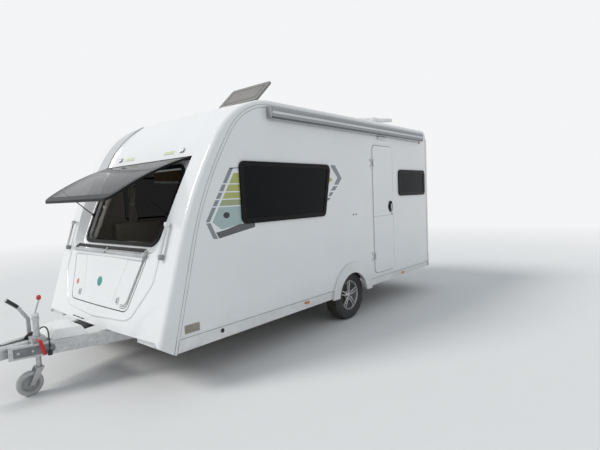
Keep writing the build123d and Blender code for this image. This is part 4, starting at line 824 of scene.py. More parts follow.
def lead_and_ends():
    """The lead, its gland on the housing and its plug with a ribbed grip."""
    lead = lead_spline()
    lead.data.materials.append(BLACK_RUBBER)
    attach(lead, "body")
    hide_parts("lead_cord")
    start_x, start_y = AXLE_X + 3.15, 0.016
    collar = [
        (0.0056, -0.0082), (0.0108, -0.0082), (0.0108, -0.002), (0.0095, 0.0), (0.008, 0.001),
        (0.0078, 0.008), (0.0068, 0.009), (0.0066, 0.019), (0.0056, 0.021)]
    gland = spun("lead_gland", collar, (start_x, start_y, 0.4315), Z, 24)
    done(gland, BLACK_RUBBER)
    x, y, foot = AXLE_X + 3.136, 0.216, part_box("lead_ends")[0].z
    parts = [
        block("lead_plug", (x - 0.0155, y - 0.0145, foot), (x + 0.0155, y + 0.0145, foot + 0.03), 0.004, 3)]
    neck = [(0.0, 0.0), (0.0125, 0.0), (0.0125, 0.004), (0.01, 0.006), (0.0098, 0.01), (0.0085, 0.0105),
            (0.0085, 0.014), (0.0055, 0.015), (0.0, 0.015)]
    parts.append(spun("plug_neck", neck, (x, y, foot + 0.028), Z, 24))
    for row in range(4):
        low = foot + 0.006 + 0.006 * row
        parts.append(
            block("plug_rib", (x - 0.0163, y - 0.01, low), (x + 0.0163, y + 0.01, low + 0.0025), 0.0005, 1))
    plug = join("lead_plug", parts)
    done(plug, BLACK_RUBBER)
    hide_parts("lead_ends")


# Wheels

TYRE_STEPS = 216


def tyre(side, name):
    """A road tyre: its shoulder and ribs spun, then grooves pressed into every fourth face of the ribs."""
    shoulder = [
        (0.178, 0.07), (0.18, 0.0815), (0.188, 0.0868), (0.19, 0.0885), (0.1935, 0.0885), (0.196, 0.088),
        (0.212, 0.091), (0.232, 0.0922), (0.25, 0.0912), (0.266, 0.088), (0.2675, 0.0888), (0.272, 0.0885),
        (0.2735, 0.0865), (0.283, 0.0818), (0.2905, 0.075), (0.2942, 0.0665), (0.2952, 0.056)]
    ribs = [(0.2956, 0.0488), (0.289, 0.0478), (0.289, 0.0412), (0.2962, 0.0402), (0.2966, 0.0205),
            (0.2895, 0.0195), (0.2895, 0.0115), (0.2968, 0.0105)]
    axis = (0, side, 0)
    piece = spun(
        "road_tyre_" + name, both_ways(shoulder + ribs), (AXLE_X, side * WHEEL_Y, WHEEL_Z), axis,
        TYRE_STEPS)

    def sipe(centre, normal):
        turn = math.atan2(centre.z - WHEEL_Z, centre.x - AXLE_X) / (2 * math.pi) * TYRE_STEPS
        radius = math.hypot(centre.z - WHEEL_Z, centre.x - AXLE_X)
        along = side * centre.y - WHEEL_Y
        if 0.049 < abs(along) < 0.0745 and radius > 0.289:
            return int(turn + 1000) % 4 == (0 if along > 0 else 2)
        return 0.022 < abs(along) < 0.038 and radius > 0.294 and int(turn + 1000) % 4 == (
            1 if along > 0 else 3)

    select_faces(piece, sipe)
    bpy.ops.mesh.extrude_region_shrink_fatten(TRANSFORM_OT_shrink_fatten={"value": -0.005})
    leave()
    done(piece, TYRE, 40.0, "wheel_" + name)
    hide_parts("tyre_left" if side > 0 else "tyre_right")
    at = (AXLE_X + 0.128, side * (WHEEL_Y + 0.058), WHEEL_Z + 0.08)
    done(disc("tyre_valve", at, 0.0045, 0.03, axis, 12, 0.001), BLACK_RUBBER, body="wheel_" + name)


def alloy_rim(side, name):
    """A rim with five pairs of spokes, its hub, cap and bolts, and the brake drum behind it."""
    centre, axis, body = (AXLE_X, side * WHEEL_Y, WHEEL_Z), (0, side, 0), "wheel_" + name
    barrel = [
        (0.1778, 0.07), (0.1778, 0.0755), (0.1752, 0.0762), (0.1722, 0.0752), (0.17, 0.07), (0.1672, 0.06),
        (0.165, 0.045), (0.164, 0.015), (0.156, 0.005), (0.154, -0.05), (0.164, -0.064), (0.17, -0.0755),
        (0.1778, -0.0755)]
    parts = [spun("rim_barrel", barrel, centre, axis, 96)]
    for turn in range(5):
        for split in (-0.0155, 0.0155):
            spoke = block("rim_spoke", (0.043, split - 0.00675, 0.043), (0.167, split + 0.00675, 0.065))
            select_faces(spoke, lambda at, normal: normal.x > 0.9)
            bpy.ops.transform.resize(value=(1.0, 0.72, 0.8))
            bpy.ops.transform.translate(value=(0, split * 0.25, 0.006))
            leave()
            select_faces(spoke, lambda at, normal: normal.x < -0.9)
            bpy.ops.transform.resize(value=(1.0, 1.15, 1.1))
            leave()
            soften(spoke, 0.0032, 3)
            spoke.rotation_mode = "XYZ"
            spoke.rotation_euler = (0, 0, math.radians(72 * turn + 90))
            settle(spoke)
            place_along(spoke, axis, centre)
            parts.append(spoke)
    hub = [(0.0002, 0.056), (0.024, 0.056), (0.0265, 0.052), (0.03, 0.052), (0.0325, 0.06), (0.045, 0.058),
           (0.056, 0.052), (0.058, 0.044), (0.058, 0.03), (0.0002, 0.03)]
    parts.append(spun("rim_hub", hub, centre, axis, 64))
    cap = [(0.0002, 0.064), (0.018, 0.0632), (0.0235, 0.0605), (0.0242, 0.054), (0.0002, 0.054)]
    parts.append(spun("rim_cap", cap, centre, axis, 48))
    bolts = []
    for turn in range(5):
        angle = math.radians(72 * turn + 126)
        at = (AXLE_X + 0.044 * math.cos(angle), side * (WHEEL_Y + 0.06), WHEEL_Z + 0.044 * math.sin(angle))
        bolts.append(disc("rim_bolt", at, 0.0082, 0.01, axis, 6, 0.0012))
    whole = join("alloy_rim_" + name, parts)
    done(whole, SILVER_PAINT, 40.0, body)
    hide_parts("rim_left" if side > 0 else "rim_right")
    group("rim_bolts_" + name, bolts, DARK_STEEL, body=body)
    drum = [(0.03, 0.026), (0.113, 0.026), (0.118, 0.021), (0.118, 0.0), (0.115, -0.003), (0.115, -0.09),
            (0.12, -0.092), (0.12, -0.108), (0.03, -0.108)]
    done(spun("brake_drum_" + name, drum, centre, axis, 64), DARK_STEEL, body=body)


# Front face

def round_corners(points, radius, steps=8):
    """An open path in a plane whose inner corners are arcs of a radius."""
    path = [points[0]]
    for before, corner, after in zip(points, points[1:], points[2:]):
        one = (Vector(before) - Vector(corner)).normalized()
        two = (Vector(after) - Vector(corner)).normalized()
        half = one.angle(two) / 2
        reach = radius / math.tan(half)
        centre = Vector(corner) + (one + two).normalized() * (radius / math.sin(half))
        first = (Vector(corner) + one * reach - centre).normalized()
        last = (Vector(corner) + two * reach - centre).normalized()
        for step in range(steps + 1):
            path.append(tuple(centre + radius * first.slerp(last, step / steps)))
    path.append(points[-1])
    return path


def face_path(points, radius, proud):
    """Points on the front face for a path drawn across (y) and up (z)."""
    flat = round_corners([(y, z, 0) for y, z in points], radius)
    smooth = []
    for (y, z, _), (next_y, next_z, _) in zip(flat, flat[1:]):
        parts = max(1, round(abs(next_y - y) / 0.1))
        smooth += [
            face_point(y + (next_y - y) * step / parts, z + (next_z - z) * step / parts, proud)
            for step in range(parts)]
    return smooth + [face_point(flat[-1][0], flat[-1][1], proud)]


def lid_path(grow, top):
    """The locker lid's outline across the front, grown by a margin, with its open ends at top."""
    low, side, foot = LID_HALF_FOOT + 0.74 * grow, LID_HALF + grow, LID_FOOT - grow
    return [(-side, top), (-side, LID_KNEE), (-low, foot), (low, foot), (side, LID_KNEE), (side, top)]


def front_face():
    """The locker lid's surround, seal, lines, creases, discs and locks, its rail's trims and the grille."""
    edge = [(-0.85, 1.13), (-0.838, 0.87), (-0.61, 0.556), (0, 0.52), (0.61, 0.556), (0.838, 0.87),
            (0.85, 1.13)]
    done(bar("lid_surround_bead", face_path(edge, 0.17, -0.011), 0.02, 4), WHITE_SKIN, 60.0)
    done(bar("lid_seal", face_path(lid_path(0.0045, 1.08), 0.084, -0.0055), 0.0058, 2), BLACK_RUBBER)
    lines = []
    for inset in (0.02, 0.033, 0.046):
        foot, outside = LID_FOOT + inset, LID_HALF - inset
        shape = [(0.43, foot), (LID_HALF_FOOT - 0.72 * inset, foot), (outside, LID_KNEE), (outside, 1.06)]
        path = [skin("front_lid", Vector(point) + Vector((0.3, 0, 0.3 * LEAN)), (-1, 0, -LEAN), 0.0004)
                for point in face_path(shape, 0.07, 0.0)]
        lines.append(bar("lid_line", path, 0.0024, 2))
    group("lid_lines", lines, BLACK_RUBBER, body="front_lid")
    creases, faces, barrels, brackets = [], [], [], []
    for side in (1, -1):
        crease = [face_point(side * 0.285, 0.665, -0.005), face_point(side * 0.405, 1.04, -0.005)]
        creases.append(bar("lid_crease", crease, 0.008, 3))
        lock_y = side * 0.376
        faces.append(face_plate("lock_face", [rounded(0.02, 0.05, 0.0099)], lock_y, 0.687, 0.0024, 0.0098))
        at = face_point(lock_y, 0.674, 0.0122)
        barrels.append(disc("lock_barrel", at, 0.0062, 0.0024, (1, 0, LEAN), 24, 0.0005))
        low, high = sorted((side * 0.655, side * 0.676))
        brackets.append(block("bracket", (1.68, low, 1.078), (1.708, high, 1.102), 0.004, 3))
    group("lid_creases", creases, WHITE_SKIN, 60.0, "front_lid")
    for name, size, y, z, finish in (
            ("lid_disc_teal", (0.046, 0.046), -0.02, 0.817, TEAL_FILM),
            ("lid_disc_orange", (0.0253, 0.02852), -0.489, 0.773, ORANGE_FILM)):
        done(face_plate(name, [oval((0, 0), *size, 48)], y, z, FILM), finish, body="front_lid")
    group("lock_faces", faces, GREY_PLASTIC, body="front_lid")
    group("lock_barrels", barrels, DARK_STEEL, body="front_lid")
    strip = [face_point(y / 10, 1.1245, 0.003) for y in (-6.6, -5, -3, -1, 1, 3, 5, 6.6)]
    done(ribbon("opening_foot_strip", strip, 0.0165, 0.0045), BLACK_RUBBER)
    cover = [
        skin("lid_rail", (1.9, -0.655 + 1.31 * step / 11, 1.059), (-1, 0, 0), 0.0004) for step in range(12)]
    done(ribbon("lid_rail_cover", cover, 0.0135, 0.0008), WHITE_SKIN, body="front_lid")
    group("lid_rail_ends", brackets, SILVER_ANODISED, body="front_lid")
    slots = [
        face_plate("hem_slot", [rounded(0.074, 0.011, 0.005)], y, 0.46, 0.001)
        for y in (-0.378, -0.29, -0.202)]
    group("hem_grille", slots, BLACK_PLASTIC)


def recess():
    """Seals beside the recess floor, its stripes and the bases of the two marker lamps."""
    for side, name in SIDES:
        path = []
        for step in range(24):
            up = 0.82 + 0.03 * step
            far, near = [recess_point(side * (recess_half(up) + 0.003), up, proud) for proud in (0.3, 0.0)]
            path.append(skin("front_panel", far, near - far, 0.0008))
        done(bar("recess_seal_" + name, path, 0.0034, 2), GREY_PLASTIC)
    green = [(-0.088, -0.01), (0.08, -0.01), (0.088, 0.01), (-0.08, 0.01)]
    olive = [(-0.092, -0.004), (0.084, -0.004), (0.087, 0.004), (-0.089, 0.004)]
    base = rounded(0.078, 0.044, 0.016)
    sheets = (
        ("stripes_pale_green", green, 0.37, 0.95, FILM, PALE_GREEN_FILM),
        ("stripes_olive", olive, 0.37, 0.928, FILM, OLIVE_FILM),
        ("marker_bases", base, 0.58, 0.9515, 0.004, GREY_PLASTIC))
    for name, outline, y, up, thick, finish in sheets:
        group(name, [recess_plate("part", [outline], side * y, up, thick) for side in (1, -1)], finish)


def grab_knuckles():
    """Grey feet and white knuckles where the front grab handles meet the body."""
    handle_y = 0.905
    for side in (1, -1):
        for ahead, z, half_height, finish in (
                (2.486, 1.086, 0.023, GREY_PLASTIC), (2.412, 1.35, 0.02, WHITE_TRIM)):
            x, y = AXLE_X + bow(handle_y) + ahead, side * handle_y
            knuckle = block(
                "knuckle", (x - 0.022, y - 0.0165, z - half_height),
                (x + 0.022, y + 0.0165, z + half_height), 0.01, 3)
            done(knuckle, finish)


def arc(start, ahead, end, steps=16):
    """Points of the flat arc that leaves start along ahead and ends at end."""
    start, end = Vector(start), Vector(end)
    ahead = Vector(ahead).normalized()
    reach = end - start
    normal = Vector((-ahead.y, ahead.x))
    radius = reach.length_squared / (2 * normal.dot(reach))
    centre = start + radius * normal
    first, last = start - centre, end - centre
    turn = math.atan2(first.x * last.y - first.y * last.x, first.dot(last))
    points = []
    for step in range(steps + 1):
        angle = turn * step / steps
        points.append(
            (centre.x + first.x * math.cos(angle) - first.y * math.sin(angle),
            centre.y + first.x * math.sin(angle) + first.y * math.cos(angle)))
    return points


def seam_path(side, inset, proud):
    """The seam between the front panel and a side wall, moved back by inset."""
    foot, knee, shoulder, crown = (2.547, 0.322), (2.331, 1.15), (1.909, 2.093), (1.35, 2.432)
    rise = (knee[0] - foot[0], knee[1] - foot[1])
    lower = arc(knee, rise, shoulder)
    upper = arc(crown, (1, 0), shoulder)[::-1]
    flat = [foot] + lower + upper[1:]
    path = []
    for before, point, after in zip([flat[0]] + flat, flat, flat[1:] + [flat[-1]]):
        along = (Vector(after) - Vector(before)).normalized()
        path.append(
            (AXLE_X + point[0] - inset * along.y, side * (HALF_W + proud), point[1] + inset * along.x))
    return path


def side_seams():
    """The two fine lines and the raised strip along each front seam."""
    for side, name in SIDES:
        lines = [bar("seam_line", seam_path(side, inset, -0.0012), 0.0024, 2) for inset in (0.002, 0.032)]
        group("front_seam_lines_" + name, lines, GREY_PLASTIC)
        done(ribbon("front_seam_strip_" + name, seam_path(side, 0.017, 0.0), 0.011, 0.0028), WHITE_TRIM,
             60.0)


def stripe(outline, side, name="stripe"):
    return side_film(name, outline, FILM, side)


def side_stripes():
    """The plain bands and blocks of colour ahead of, below and behind each big side window."""
    breaks = [(1.812, 1.677), (1.666, 1.607), (1.596, 1.543), (1.532, 1.481), (1.47, 1.35)]
    limes, mosses = [(1.768, 1.677), *breaks[1:3]], [breaks[3]]

    def outer(z):
        return 1.885 + (1.812 - z) * 0.62

    def inner(z):
        return outer(z) - 0.043

    head = [(1.772, 1.821), (1.885, 1.814), (1.879, 1.804), (1.772, 1.811)]
    tail = [(2.166, 1.34), (2.1, 1.203), (2.046, 1.2), (2.078, 1.252), (2.122, 1.34)]
    foot = [(2.036, 1.201), (1.606, 1.268), (1.606, 1.31), (1.79, 1.31), (1.962, 1.27), (2.068, 1.254)]
    sea = [(inner(z) - 0.03, z) for z in (1.47, 1.345)] + [(2.004, 1.276), (1.766, 1.312), (1.766, 1.47)]
    behind = [
        [(0.306, 1.88), (0.398, 1.876), (0.262, 1.736), (0.334, 1.655), (0.251, 1.655), (0.179, 1.732)],
        [(0.265, 1.638), (0.345, 1.638), (0.402, 1.589), (0.322, 1.589)],
        [(0.346, 1.57), (0.412, 1.57), (0.446, 1.526), (0.393, 1.526)],
        [(0.408, 1.508), (0.47, 1.508), (0.486, 1.478), (0.437, 1.478)]]
    wedge = [(0.45, 1.764), (0.358, 1.71), (0.472, 1.657)]
    bands = [
        [(outer(top), top), (outer(low), low), (inner(low), low), (inner(top), top)] for top, low in breaks]
    for side, name in SIDES:
        group("stripe_band_" + name, [stripe(outline, side) for outline in bands + [head, tail]],
              SLATE_FILM)
        done(stripe(foot, side, "stripe_foot_" + name), GRAPHITE_FILM)
        for colour, finish, blocks in (("lime", LIME_FILM, limes), ("moss", MOSS_FILM, mosses)):
            parts = [
                stripe([(inner(top) - 0.03, top), (inner(low) - 0.03, low), (1.766, low), (1.766, top)],
                side) for top, low in blocks]
            group("stripe_" + colour + "_" + name, parts, finish)
        done(stripe(sea, side, "stripe_sea_" + name), SEA_FILM)
        ring = oval((1.944, 1.397), 0.036, 0.027, 32)
        done(side_film("stripe_disc_" + name, ring, FILM, side, 0.0009), BLACK_FILM)
        group("stripe_rear_" + name, [stripe(outline, side) for outline in behind], SLATE_FILM)
        done(stripe(wedge, side, "stripe_wedge_" + name), LIME_FILM)


def side_box(name, ahead, z, proud, round_edges=0.0, segments=2, off=0.0, side=1):
    """A block that stands off a side wall, from its ranges ahead of the axle and of height."""
    foot, face = side * (HALF_W + off), side * (HALF_W + off + proud)
    low = (AXLE_X + ahead[0], min(foot, face), z[0])
    high = (AXLE_X + ahead[1], max(foot, face), z[1])
    return block(name, low, high, round_edges, segments)


def side_disc(name, ahead, z, radius, proud, round_edges=0.0, sides=32, off=0.0, side=1):
    centre = (AXLE_X + ahead, side * (HALF_W + off + proud / 2), z)
    return disc(name, centre, radius, proud, (0, side, 0), sides, round_edges)


def sills():
    """Strips where the walls meet the skirts, grey strips of painted shadow under them, beads on the wheel
    arches and trims at the rear corners.
    """
    runs = ((0.409, 2.508), (-2.098, -0.386))
    arch_x, arch_z, arch_foot = AXLE_X + 0.012, 0.285, 0.324
    for side, name in SIDES:
        strips = [side_box("strip", run, (0.4335, 0.4465), 0.004, 0.0018, 2, -0.001, side) for run in runs]
        group("sill_strips_" + name, strips, WHITE_TRIM)
        # Grey strips just under each sill strip: painted shadow below its lower edge.
        painted_shadows = [side_box("shade", run, (0.4265, 0.433), 0.0012, 0.0, 2, -0.0022, side) for run in runs]
        group("sill_painted_shadows_" + name, painted_shadows, GREY_PLASTIC)
        beads = []
        for radius, place in ((0.4205, 0.0205), (0.3025, 0.02)):
            low = math.asin((arch_foot - arch_z) / radius)
            turns = [low + (math.pi - 2 * low) * step / 48 for step in range(49)]
            y = side * (HALF_W + place - 0.003)
            path = [(arch_x + radius * math.cos(turn), y, arch_z + radius * math.sin(turn))
                    for turn in turns]
            beads.append(bar("bead", path, 0.0046, 2))
        group("arch_beads_" + name, beads, WHITE_MOULDING, 60.0)
        corner = "rear_corner_line_" + name
        done(side_box(corner, (-2.105, -2.099), (0.441, 2.36), 0.0008, 0.0, 2, 0.0, side), GREY_PLASTIC)
        trim = "rear_corner_trim_" + name
        done(side_box(trim, (-2.148, -2.104), (0.445, 2.34), 0.003, 0.0012, 2, -0.0015, side), WHITE_TRIM)
        reflectors = [
            side_box("reflector", (ahead - 0.032, ahead + 0.032), (z - 0.0085, z + 0.0085), 0.0012, 0.0005,
            1, 0.01, side) for ahead, z in ((0.895, 0.398), (-1.284, 0.385))]
        group("side_marker_lenses_" + name, reflectors, AMBER_LENS)


def door_parts():
    """The door's seal, frame, handle, locks and the line across its two leaves."""
    left, right, foot, head, corner, proud = -1.028, -0.517, 0.488, 2.158, 0.07, 0.006
    middle = (AXLE_X + (left + right) / 2, (foot + head) / 2)

    def outline(grow, turn):
        ring = rounded(right - left + grow, head - foot + grow, corner + turn, 8)
        return [(middle[0] + across, middle[1] + up) for across, up in ring]

    seal = [(x, HALF_W - 0.0015, z) for x, z in outline(0.0055, 0.003)]
    done(bar("door_seal", seal, 0.0028, 2, True), BLACK_RUBBER)
    frame_face = [outline(0.046, 0.023), outline(0.018, 0.009)]
    done(plate("door_frame", frame_face, 0.003, (0, HALF_W + 0.0012, 0), X, Z), WHITE_TRIM)
    groove = side_box(
        "door_leaf_line", (left + 0.01, right - 0.01), (1.233, 1.237), 0.0014, off=proud - 0.001)
    done(groove, GREY_PLASTIC, body="door")
    pull_x, pull_z = -0.95, 1.352
    bezel = [
        (0.03, 0.0), (0.058, 0.0), (0.058, 0.003), (0.0545, 0.0062), (0.044, 0.007), (0.036, 0.004),
        (0.03, 0.003)]
    bezel_at = (AXLE_X + pull_x, HALF_W + proud, pull_z)
    done(spun("handle_bezel", bezel, bezel_at, Y, 48), BLACK_PLASTIC, body="door")
    pocket = side_disc("handle_pocket", pull_x, pull_z, 0.0255, 0.001, sides=40, off=proud + 0.0158)
    paddle = side_box(
        "handle_paddle", (pull_x - 0.0085, pull_x + 0.0085), (pull_z - 0.046, pull_z + 0.034), 0.0055,
        0.003, 3, proud + 0.016)
    barrel = side_disc("handle_barrel", pull_x, pull_z - 0.06, 0.0065, 0.0035, 0.0006, 24, proud + 0.0155)
    bolt = side_box("door_lock", (pull_x - 0.06, pull_x - 0.014), (1.246, 1.262), 0.0055, 0.0025, 3, proud)
    for piece, finish in (
            (paddle, SILVER_ANODISED), (pocket, BLACK_RUBBER), (barrel, SILVER_ANODISED),
            (bolt, GREY_PLASTIC)):
        done(piece, finish, body="door")
    locks = [side_disc("lock", ahead, 1.289, 0.0125, 0.004, 0.001) for ahead in (-0.106, -0.046)]
    group("wall_locks", locks, GREY_PLASTIC)


def near_side_fittings():
    """The louvred plate, grommet, lamps and the awning's caps and rails on the door side, with a painted
    highlight band along the awning and a dark lip at its foot, partly painted shade.
    """
    louvres = [side_box("louvre_plate", (2.288, 2.436), (0.461, 0.532), 0.0026, 0.001, 1)]
    louvres += [
        side_box("louvre_rib", (2.296, 2.428), (z, z + 0.0042), 0.0036, 0.001, 1, 0.002)
        for z in (0.468 + 0.0086 * row for row in range(7))]
    group("louvre_plate", louvres, SAND_PLASTIC)
    ring = [(0.011, 0.0), (0.0195, 0.0), (0.0195, 0.003), (0.0165, 0.005), (0.013, 0.0045), (0.011, 0.0015)]
    grommet = spun("skirt_grommet", ring, (AXLE_X + 2.051, HALF_W - 0.002, 0.394), Y, 32)
    hole = side_disc("grommet_core", 2.051, 0.394, 0.0115, 0.0012, off=-0.002)
    group("skirt_grommet", [grommet, hole], BLACK_RUBBER)
    done(side_box("awning_lamp", (-0.86, -0.66), (2.24, 2.282), 0.026, 0.008, 3), WHITE_TRIM)
    done(side_box("awning_lamp_lens", (-0.848, -0.672), (2.247, 2.275), 0.004, 0.0015, 2, 0.0245),
         CLEAR_LENS)
    done(side_disc("corner_lamp_seat", -1.895, 2.282, 0.022, 0.006, 0.0015), GREY_PLASTIC)
    done(side_disc("corner_lamp_lens", -1.895, 2.282, 0.0165, 0.005, 0.002, off=0.0055), AMBER_LENS)
    section = rounded(0.073, 0.119, 0.03)
    caps = [plate("awning_cap", [section], 0.012, (AXLE_X + ahead, HALF_W + 0.037, 2.35), Y, Z)
            for ahead in (1.386, -1.886)]
    group("awning_caps", caps, GREY_PLASTIC)
    rails = [
        side_box("awning_rail", (-1.88, 1.38), (2.4085, 2.4145), 0.05, 0.0015, 1, 0.004),
        side_box("awning_rail", (-1.872, 1.372), (2.286, 2.293), 0.03, 0.002, 1, 0.026)]
    group("awning_rails", rails, SILVER_ANODISED)
    lines = [
        side_box("awning_line", (-1.878, 1.378), (z, z + 0.003), FILM, off=0.0737) for z in (2.326, 2.376)]
    group("awning_lines", lines, GREY_PLASTIC)
    # A lighter silver strip along the middle of the darker awning case: a painted highlight.
    band = side_box("awning_painted_highlight", (-1.878, 1.378), (2.3385, 2.36), 0.0012, 0.0004, 1, 0.0735)
    done(band, SILVER_ANODISED)
    # A dark graphite bead along the foot of the awning case: partly its real lip, partly painted shade on
    # its lower side.
    lip = [(AXLE_X + ahead, HALF_W + 0.0632, 2.3045) for ahead in (1.378, -0.25, -1.878)]
    done(bar("awning_lip_and_painted_shade", lip, 0.0105, 4), GRAPHITE_FILM)


def roof_rails():
    """A rail along each edge of the roof and the seam strips across it."""
    for side, name in SIDES:
        path = [(AXLE_X + ahead, side * (HALF_W - 0.0005), 2.434) for ahead in (1.34, 0.0, -2.06)]
        done(bar("roof_rail_" + name, path, 0.0055, 3), WHITE_TRIM, 60.0)
    reach = HALF_W - 0.045
    for name, x in (("crown_seam", 0.4275), ("rear_roof_seam", -2.857)):
        done(block(name, (x, -reach, 2.479), (x + 0.014, reach, 2.4822), 0.0012, 2), WHITE_TRIM)


def off_side_fittings():
    """Vents, a service door and two small covers on the side away from the door."""
    grilles, slats = [], []
    for z in (0.8, 1.37):
        grilles.append(side_box("vent_frame", (-0.33, 0.13), (z, z + 0.24), 0.009, 0.004, 3, side=-1))
        slats += [
            side_box("vent_slat", (-0.3, 0.1), (foot, foot + 0.0145), 0.005, 0.0015, 1, 0.007, -1)
            for foot in (z + 0.024 + 0.0245 * row for row in range(8))]
    group("off_side_vents", grilles + slats, WHITE_TRIM)
    panel = side_box("service_door", (-1.78, -1.4), (0.56, 0.9), 0.0085, 0.0035, 3, side=-1)
    leaf = side_box("service_door_leaf", (-1.757, -1.423), (0.583, 0.877), 0.004, 0.0018, 2, 0.007, -1)
    group("service_door", [panel, leaf], WHITE_TRIM)
    latches = [
        side_disc("service_latch", ahead, 0.85, 0.013, 0.004, 0.001, 32, 0.0105, -1)
        for ahead in (-1.72, -1.46)]
    group("service_latches", latches, GREY_PLASTIC)
    covers = [
        side_box("inlet_cover", (ahead, ahead + 0.13), (0.62, 0.78), 0.018, 0.009, 3, side=-1)
        for ahead in (0.62, 0.86)]
    group("inlet_covers", covers, WHITE_TRIM)
    pulls = [
        side_box("inlet_pull", (ahead, ahead + 0.04), (0.632, 0.644), 0.004, 0.0015, 1, 0.017, -1)
        for ahead in (0.665, 0.905)]
    group("inlet_pulls", pulls, GREY_PLASTIC)


def body_of(name):
    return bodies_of(NODES[name])[0]


def coupling():
    """Bellows, grips on the two levers, the brake's sector, the coupling's cap, gussets and bolts."""
    shaft_z = 0.3755
    folds = [(0.0305, 0.0), (0.044, 0.0), (0.045, 0.006), (0.044, 0.012)]
    for fold in range(8):
        at, crest = 0.02 + 0.021 * fold, 0.043 - 0.0006 * fold
        folds += [(0.035, at), (crest, at + 0.006), (crest, at + 0.011), (0.035, at + 0.0165)]
    folds += [(0.036, 0.19), (0.036, 0.199), (0.0305, 0.199)]
    done(spun("coupling_bellows", folds, (2.652, 0, shaft_z), X, 40), BLACK_RUBBER)
    lever = [(2.4585, -0.01, 0.7205), (2.48, -0.01, 0.742), (2.512, -0.01, 0.7712), (2.533, -0.01, 0.7905)]
    done(bar("handbrake_grip", lever, 0.0165, 5), BLACK_PLASTIC, 60.0)
    done(bar("handbrake_tip", [(2.53, -0.01, 0.7878), (2.54, -0.01, 0.797)], 0.015, 5), SILVER_ANODISED)
    turns = [step / 12 * 1.75 + 0.3 for step in range(13)]
    sector = [(0.0, 0.0)] + [(0.07 * math.cos(turn), 0.07 * math.sin(turn)) for turn in turns]
    done(plate("brake_sector", [sector], 0.004, (2.372, 0.0045, 0.424), X, Z), DARK_STEEL)
    handle = [(2.792, 0, 0.5075), (2.83, 0, 0.503), (2.89, 0, 0.4935)]
    done(bar("coupling_grip", handle, 0.017, 5), BLACK_PLASTIC, 60.0)
    cap = [(0.0002, 0.013), (0.02, 0.011), (0.033, 0.006), (0.04, -0.004), (0.0435, -0.01), (0.0002, -0.01)]
    done(spun("coupling_cap", cap, (2.975, 0, 0.44), Z, 40), GALVANISED)
    bolts = []
    for x in (2.27, 2.42, 2.57):
        for side in (1, -1):
            bolts.append(disc("bolt", (x, side * 0.049, shaft_z), 0.011, 0.007, (0, side, 0), 6, 0.0012))
            bolts.append(
                disc("washer", (x, side * 0.0465, shaft_z), 0.015, 0.002, (0, side, 0), 24, 0.0004))
    along = Vector((1.495, -0.476, 0)).normalized()
    half, back = 0.036, -0.11
    turns = [step / 12 * math.pi for step in range(1, 12)]
    tail = [(0.15, -half), (0.15, half), (back, half)]
    tail += [(back - half * math.sin(turn), half * math.cos(turn)) for turn in turns] + [(back, -half)]
    for side, name in SIDES:
        flip = Vector((1, side, 1))
        out, right = Vector((0.3034, 0.9528, 0)) * flip, along * flip
        centre = Vector((2.4, side * 0.1397, shaft_z))
        gusset = plate("drawbar_gusset_" + name, [tail], 0.005, centre + out * 0.0254, right, Z)
        # The gusset takes the darker steel: painted shade.
        done(gusset, GUSSET_PAINTED_SHADE)
        for shifts, off, radius, depth in (
                ((-0.105, 0.015, 0.115), 0.03, 0.0105, 0.007), ((-0.98, -0.62, -0.26), 0.0258, 0.0095,
                0.0065)):
            bolts += [
                disc("bolt", centre + out * off + right * shift, radius, depth, out, 6, 0.0012)
                for shift in shifts]
    group("drawbar_bolts", bolts, GALVANISED)


def jockey_parts():
    """The jockey wheel's crank and knob, its collars, tyre, hub and axle ends, and the clamp's grip."""
    x, y = 2.365, 0.092
    hat = [(0.0002, 0.0), (0.027, 0.0), (0.027, 0.017), (0.0235, 0.024), (0.012, 0.0255), (0.0002, 0.0255)]
    path = [(x, y, 0.655), (x, y + 0.004, 0.669), (x, y + 0.02, 0.69), (x, y + 0.085, 0.762),
            (x, y + 0.104, 0.78), (x, y + 0.11, 0.8)]
    cap = spun("crank_cap", hat, (x, y, 0.64), Z, 40)
    crank = join("jockey_crank_round", [cap, bar("crank_arm", path, 0.0062, 3)])
    done(crank, SILVER_ANODISED, 50.0, body_of("jockey_crank"))
    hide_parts("jockey_crank")
    knob = [(0.0002, 0.0), (0.01, 0.0), (0.016, 0.005), (0.0182, 0.017), (0.0165, 0.029), (0.011, 0.037),
            (0.0002, 0.039)]
    done(spun("crank_knob", knob, (x, y + 0.11, 0.79), Z, 32), RED_PLASTIC, 60.0, body_of("jockey_crank"))
    ring = [(0.0242, 0.0), (0.029, 0.0), (0.029, 0.016), (0.0242, 0.016)]
    collars = [spun("collar", ring, (x, y, z), Z, 40) for z in (0.48, 0.61)]
    group("jockey_collars", collars, GALVANISED, body=body_of("jockey_tube"))
    wheel_at = (2.441, y, 0.1)
    half = [(0.064, 0.02), (0.07, 0.0255), (0.086, 0.0285), (0.0945, 0.024), (0.0985, 0.015), (0.1, 0.006)]
    wheel = spun("jockey_tread_ring", both_ways(half), wheel_at, Y, 72)
    done(wheel, JOCKEY_RUBBER, 50.0, body_of("jockey_wheel"))
    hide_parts("jockey_wheel")
    web = [(0.0085, 0.031), (0.019, 0.031), (0.021, 0.027), (0.023, 0.013), (0.04, 0.008), (0.056, 0.01),
           (0.06, 0.019), (0.0645, 0.019)]
    done(spun("jockey_hub", both_ways(web), wheel_at, Y, 56), GREY_PLASTIC, 40.0, body_of("jockey_wheel"))
    ends = [disc("end", (2.441, y + side * 0.0475, 0.1), 0.012, 0.006, (0, side, 0), 6, 0.001)
            for side in (1, -1)]
    group("jockey_axle_ends", ends, GALVANISED, body=body_of("jockey_fork"))
    grip = bar(
        "clamp_grip", [(2.366, 0.197, 0.403), (2.357, 0.197, 0.367), (2.3485, 0.197, 0.333)], 0.0105, 4)
    done(grip, RED_PLASTIC, 60.0, body_of("clamp_lever"))


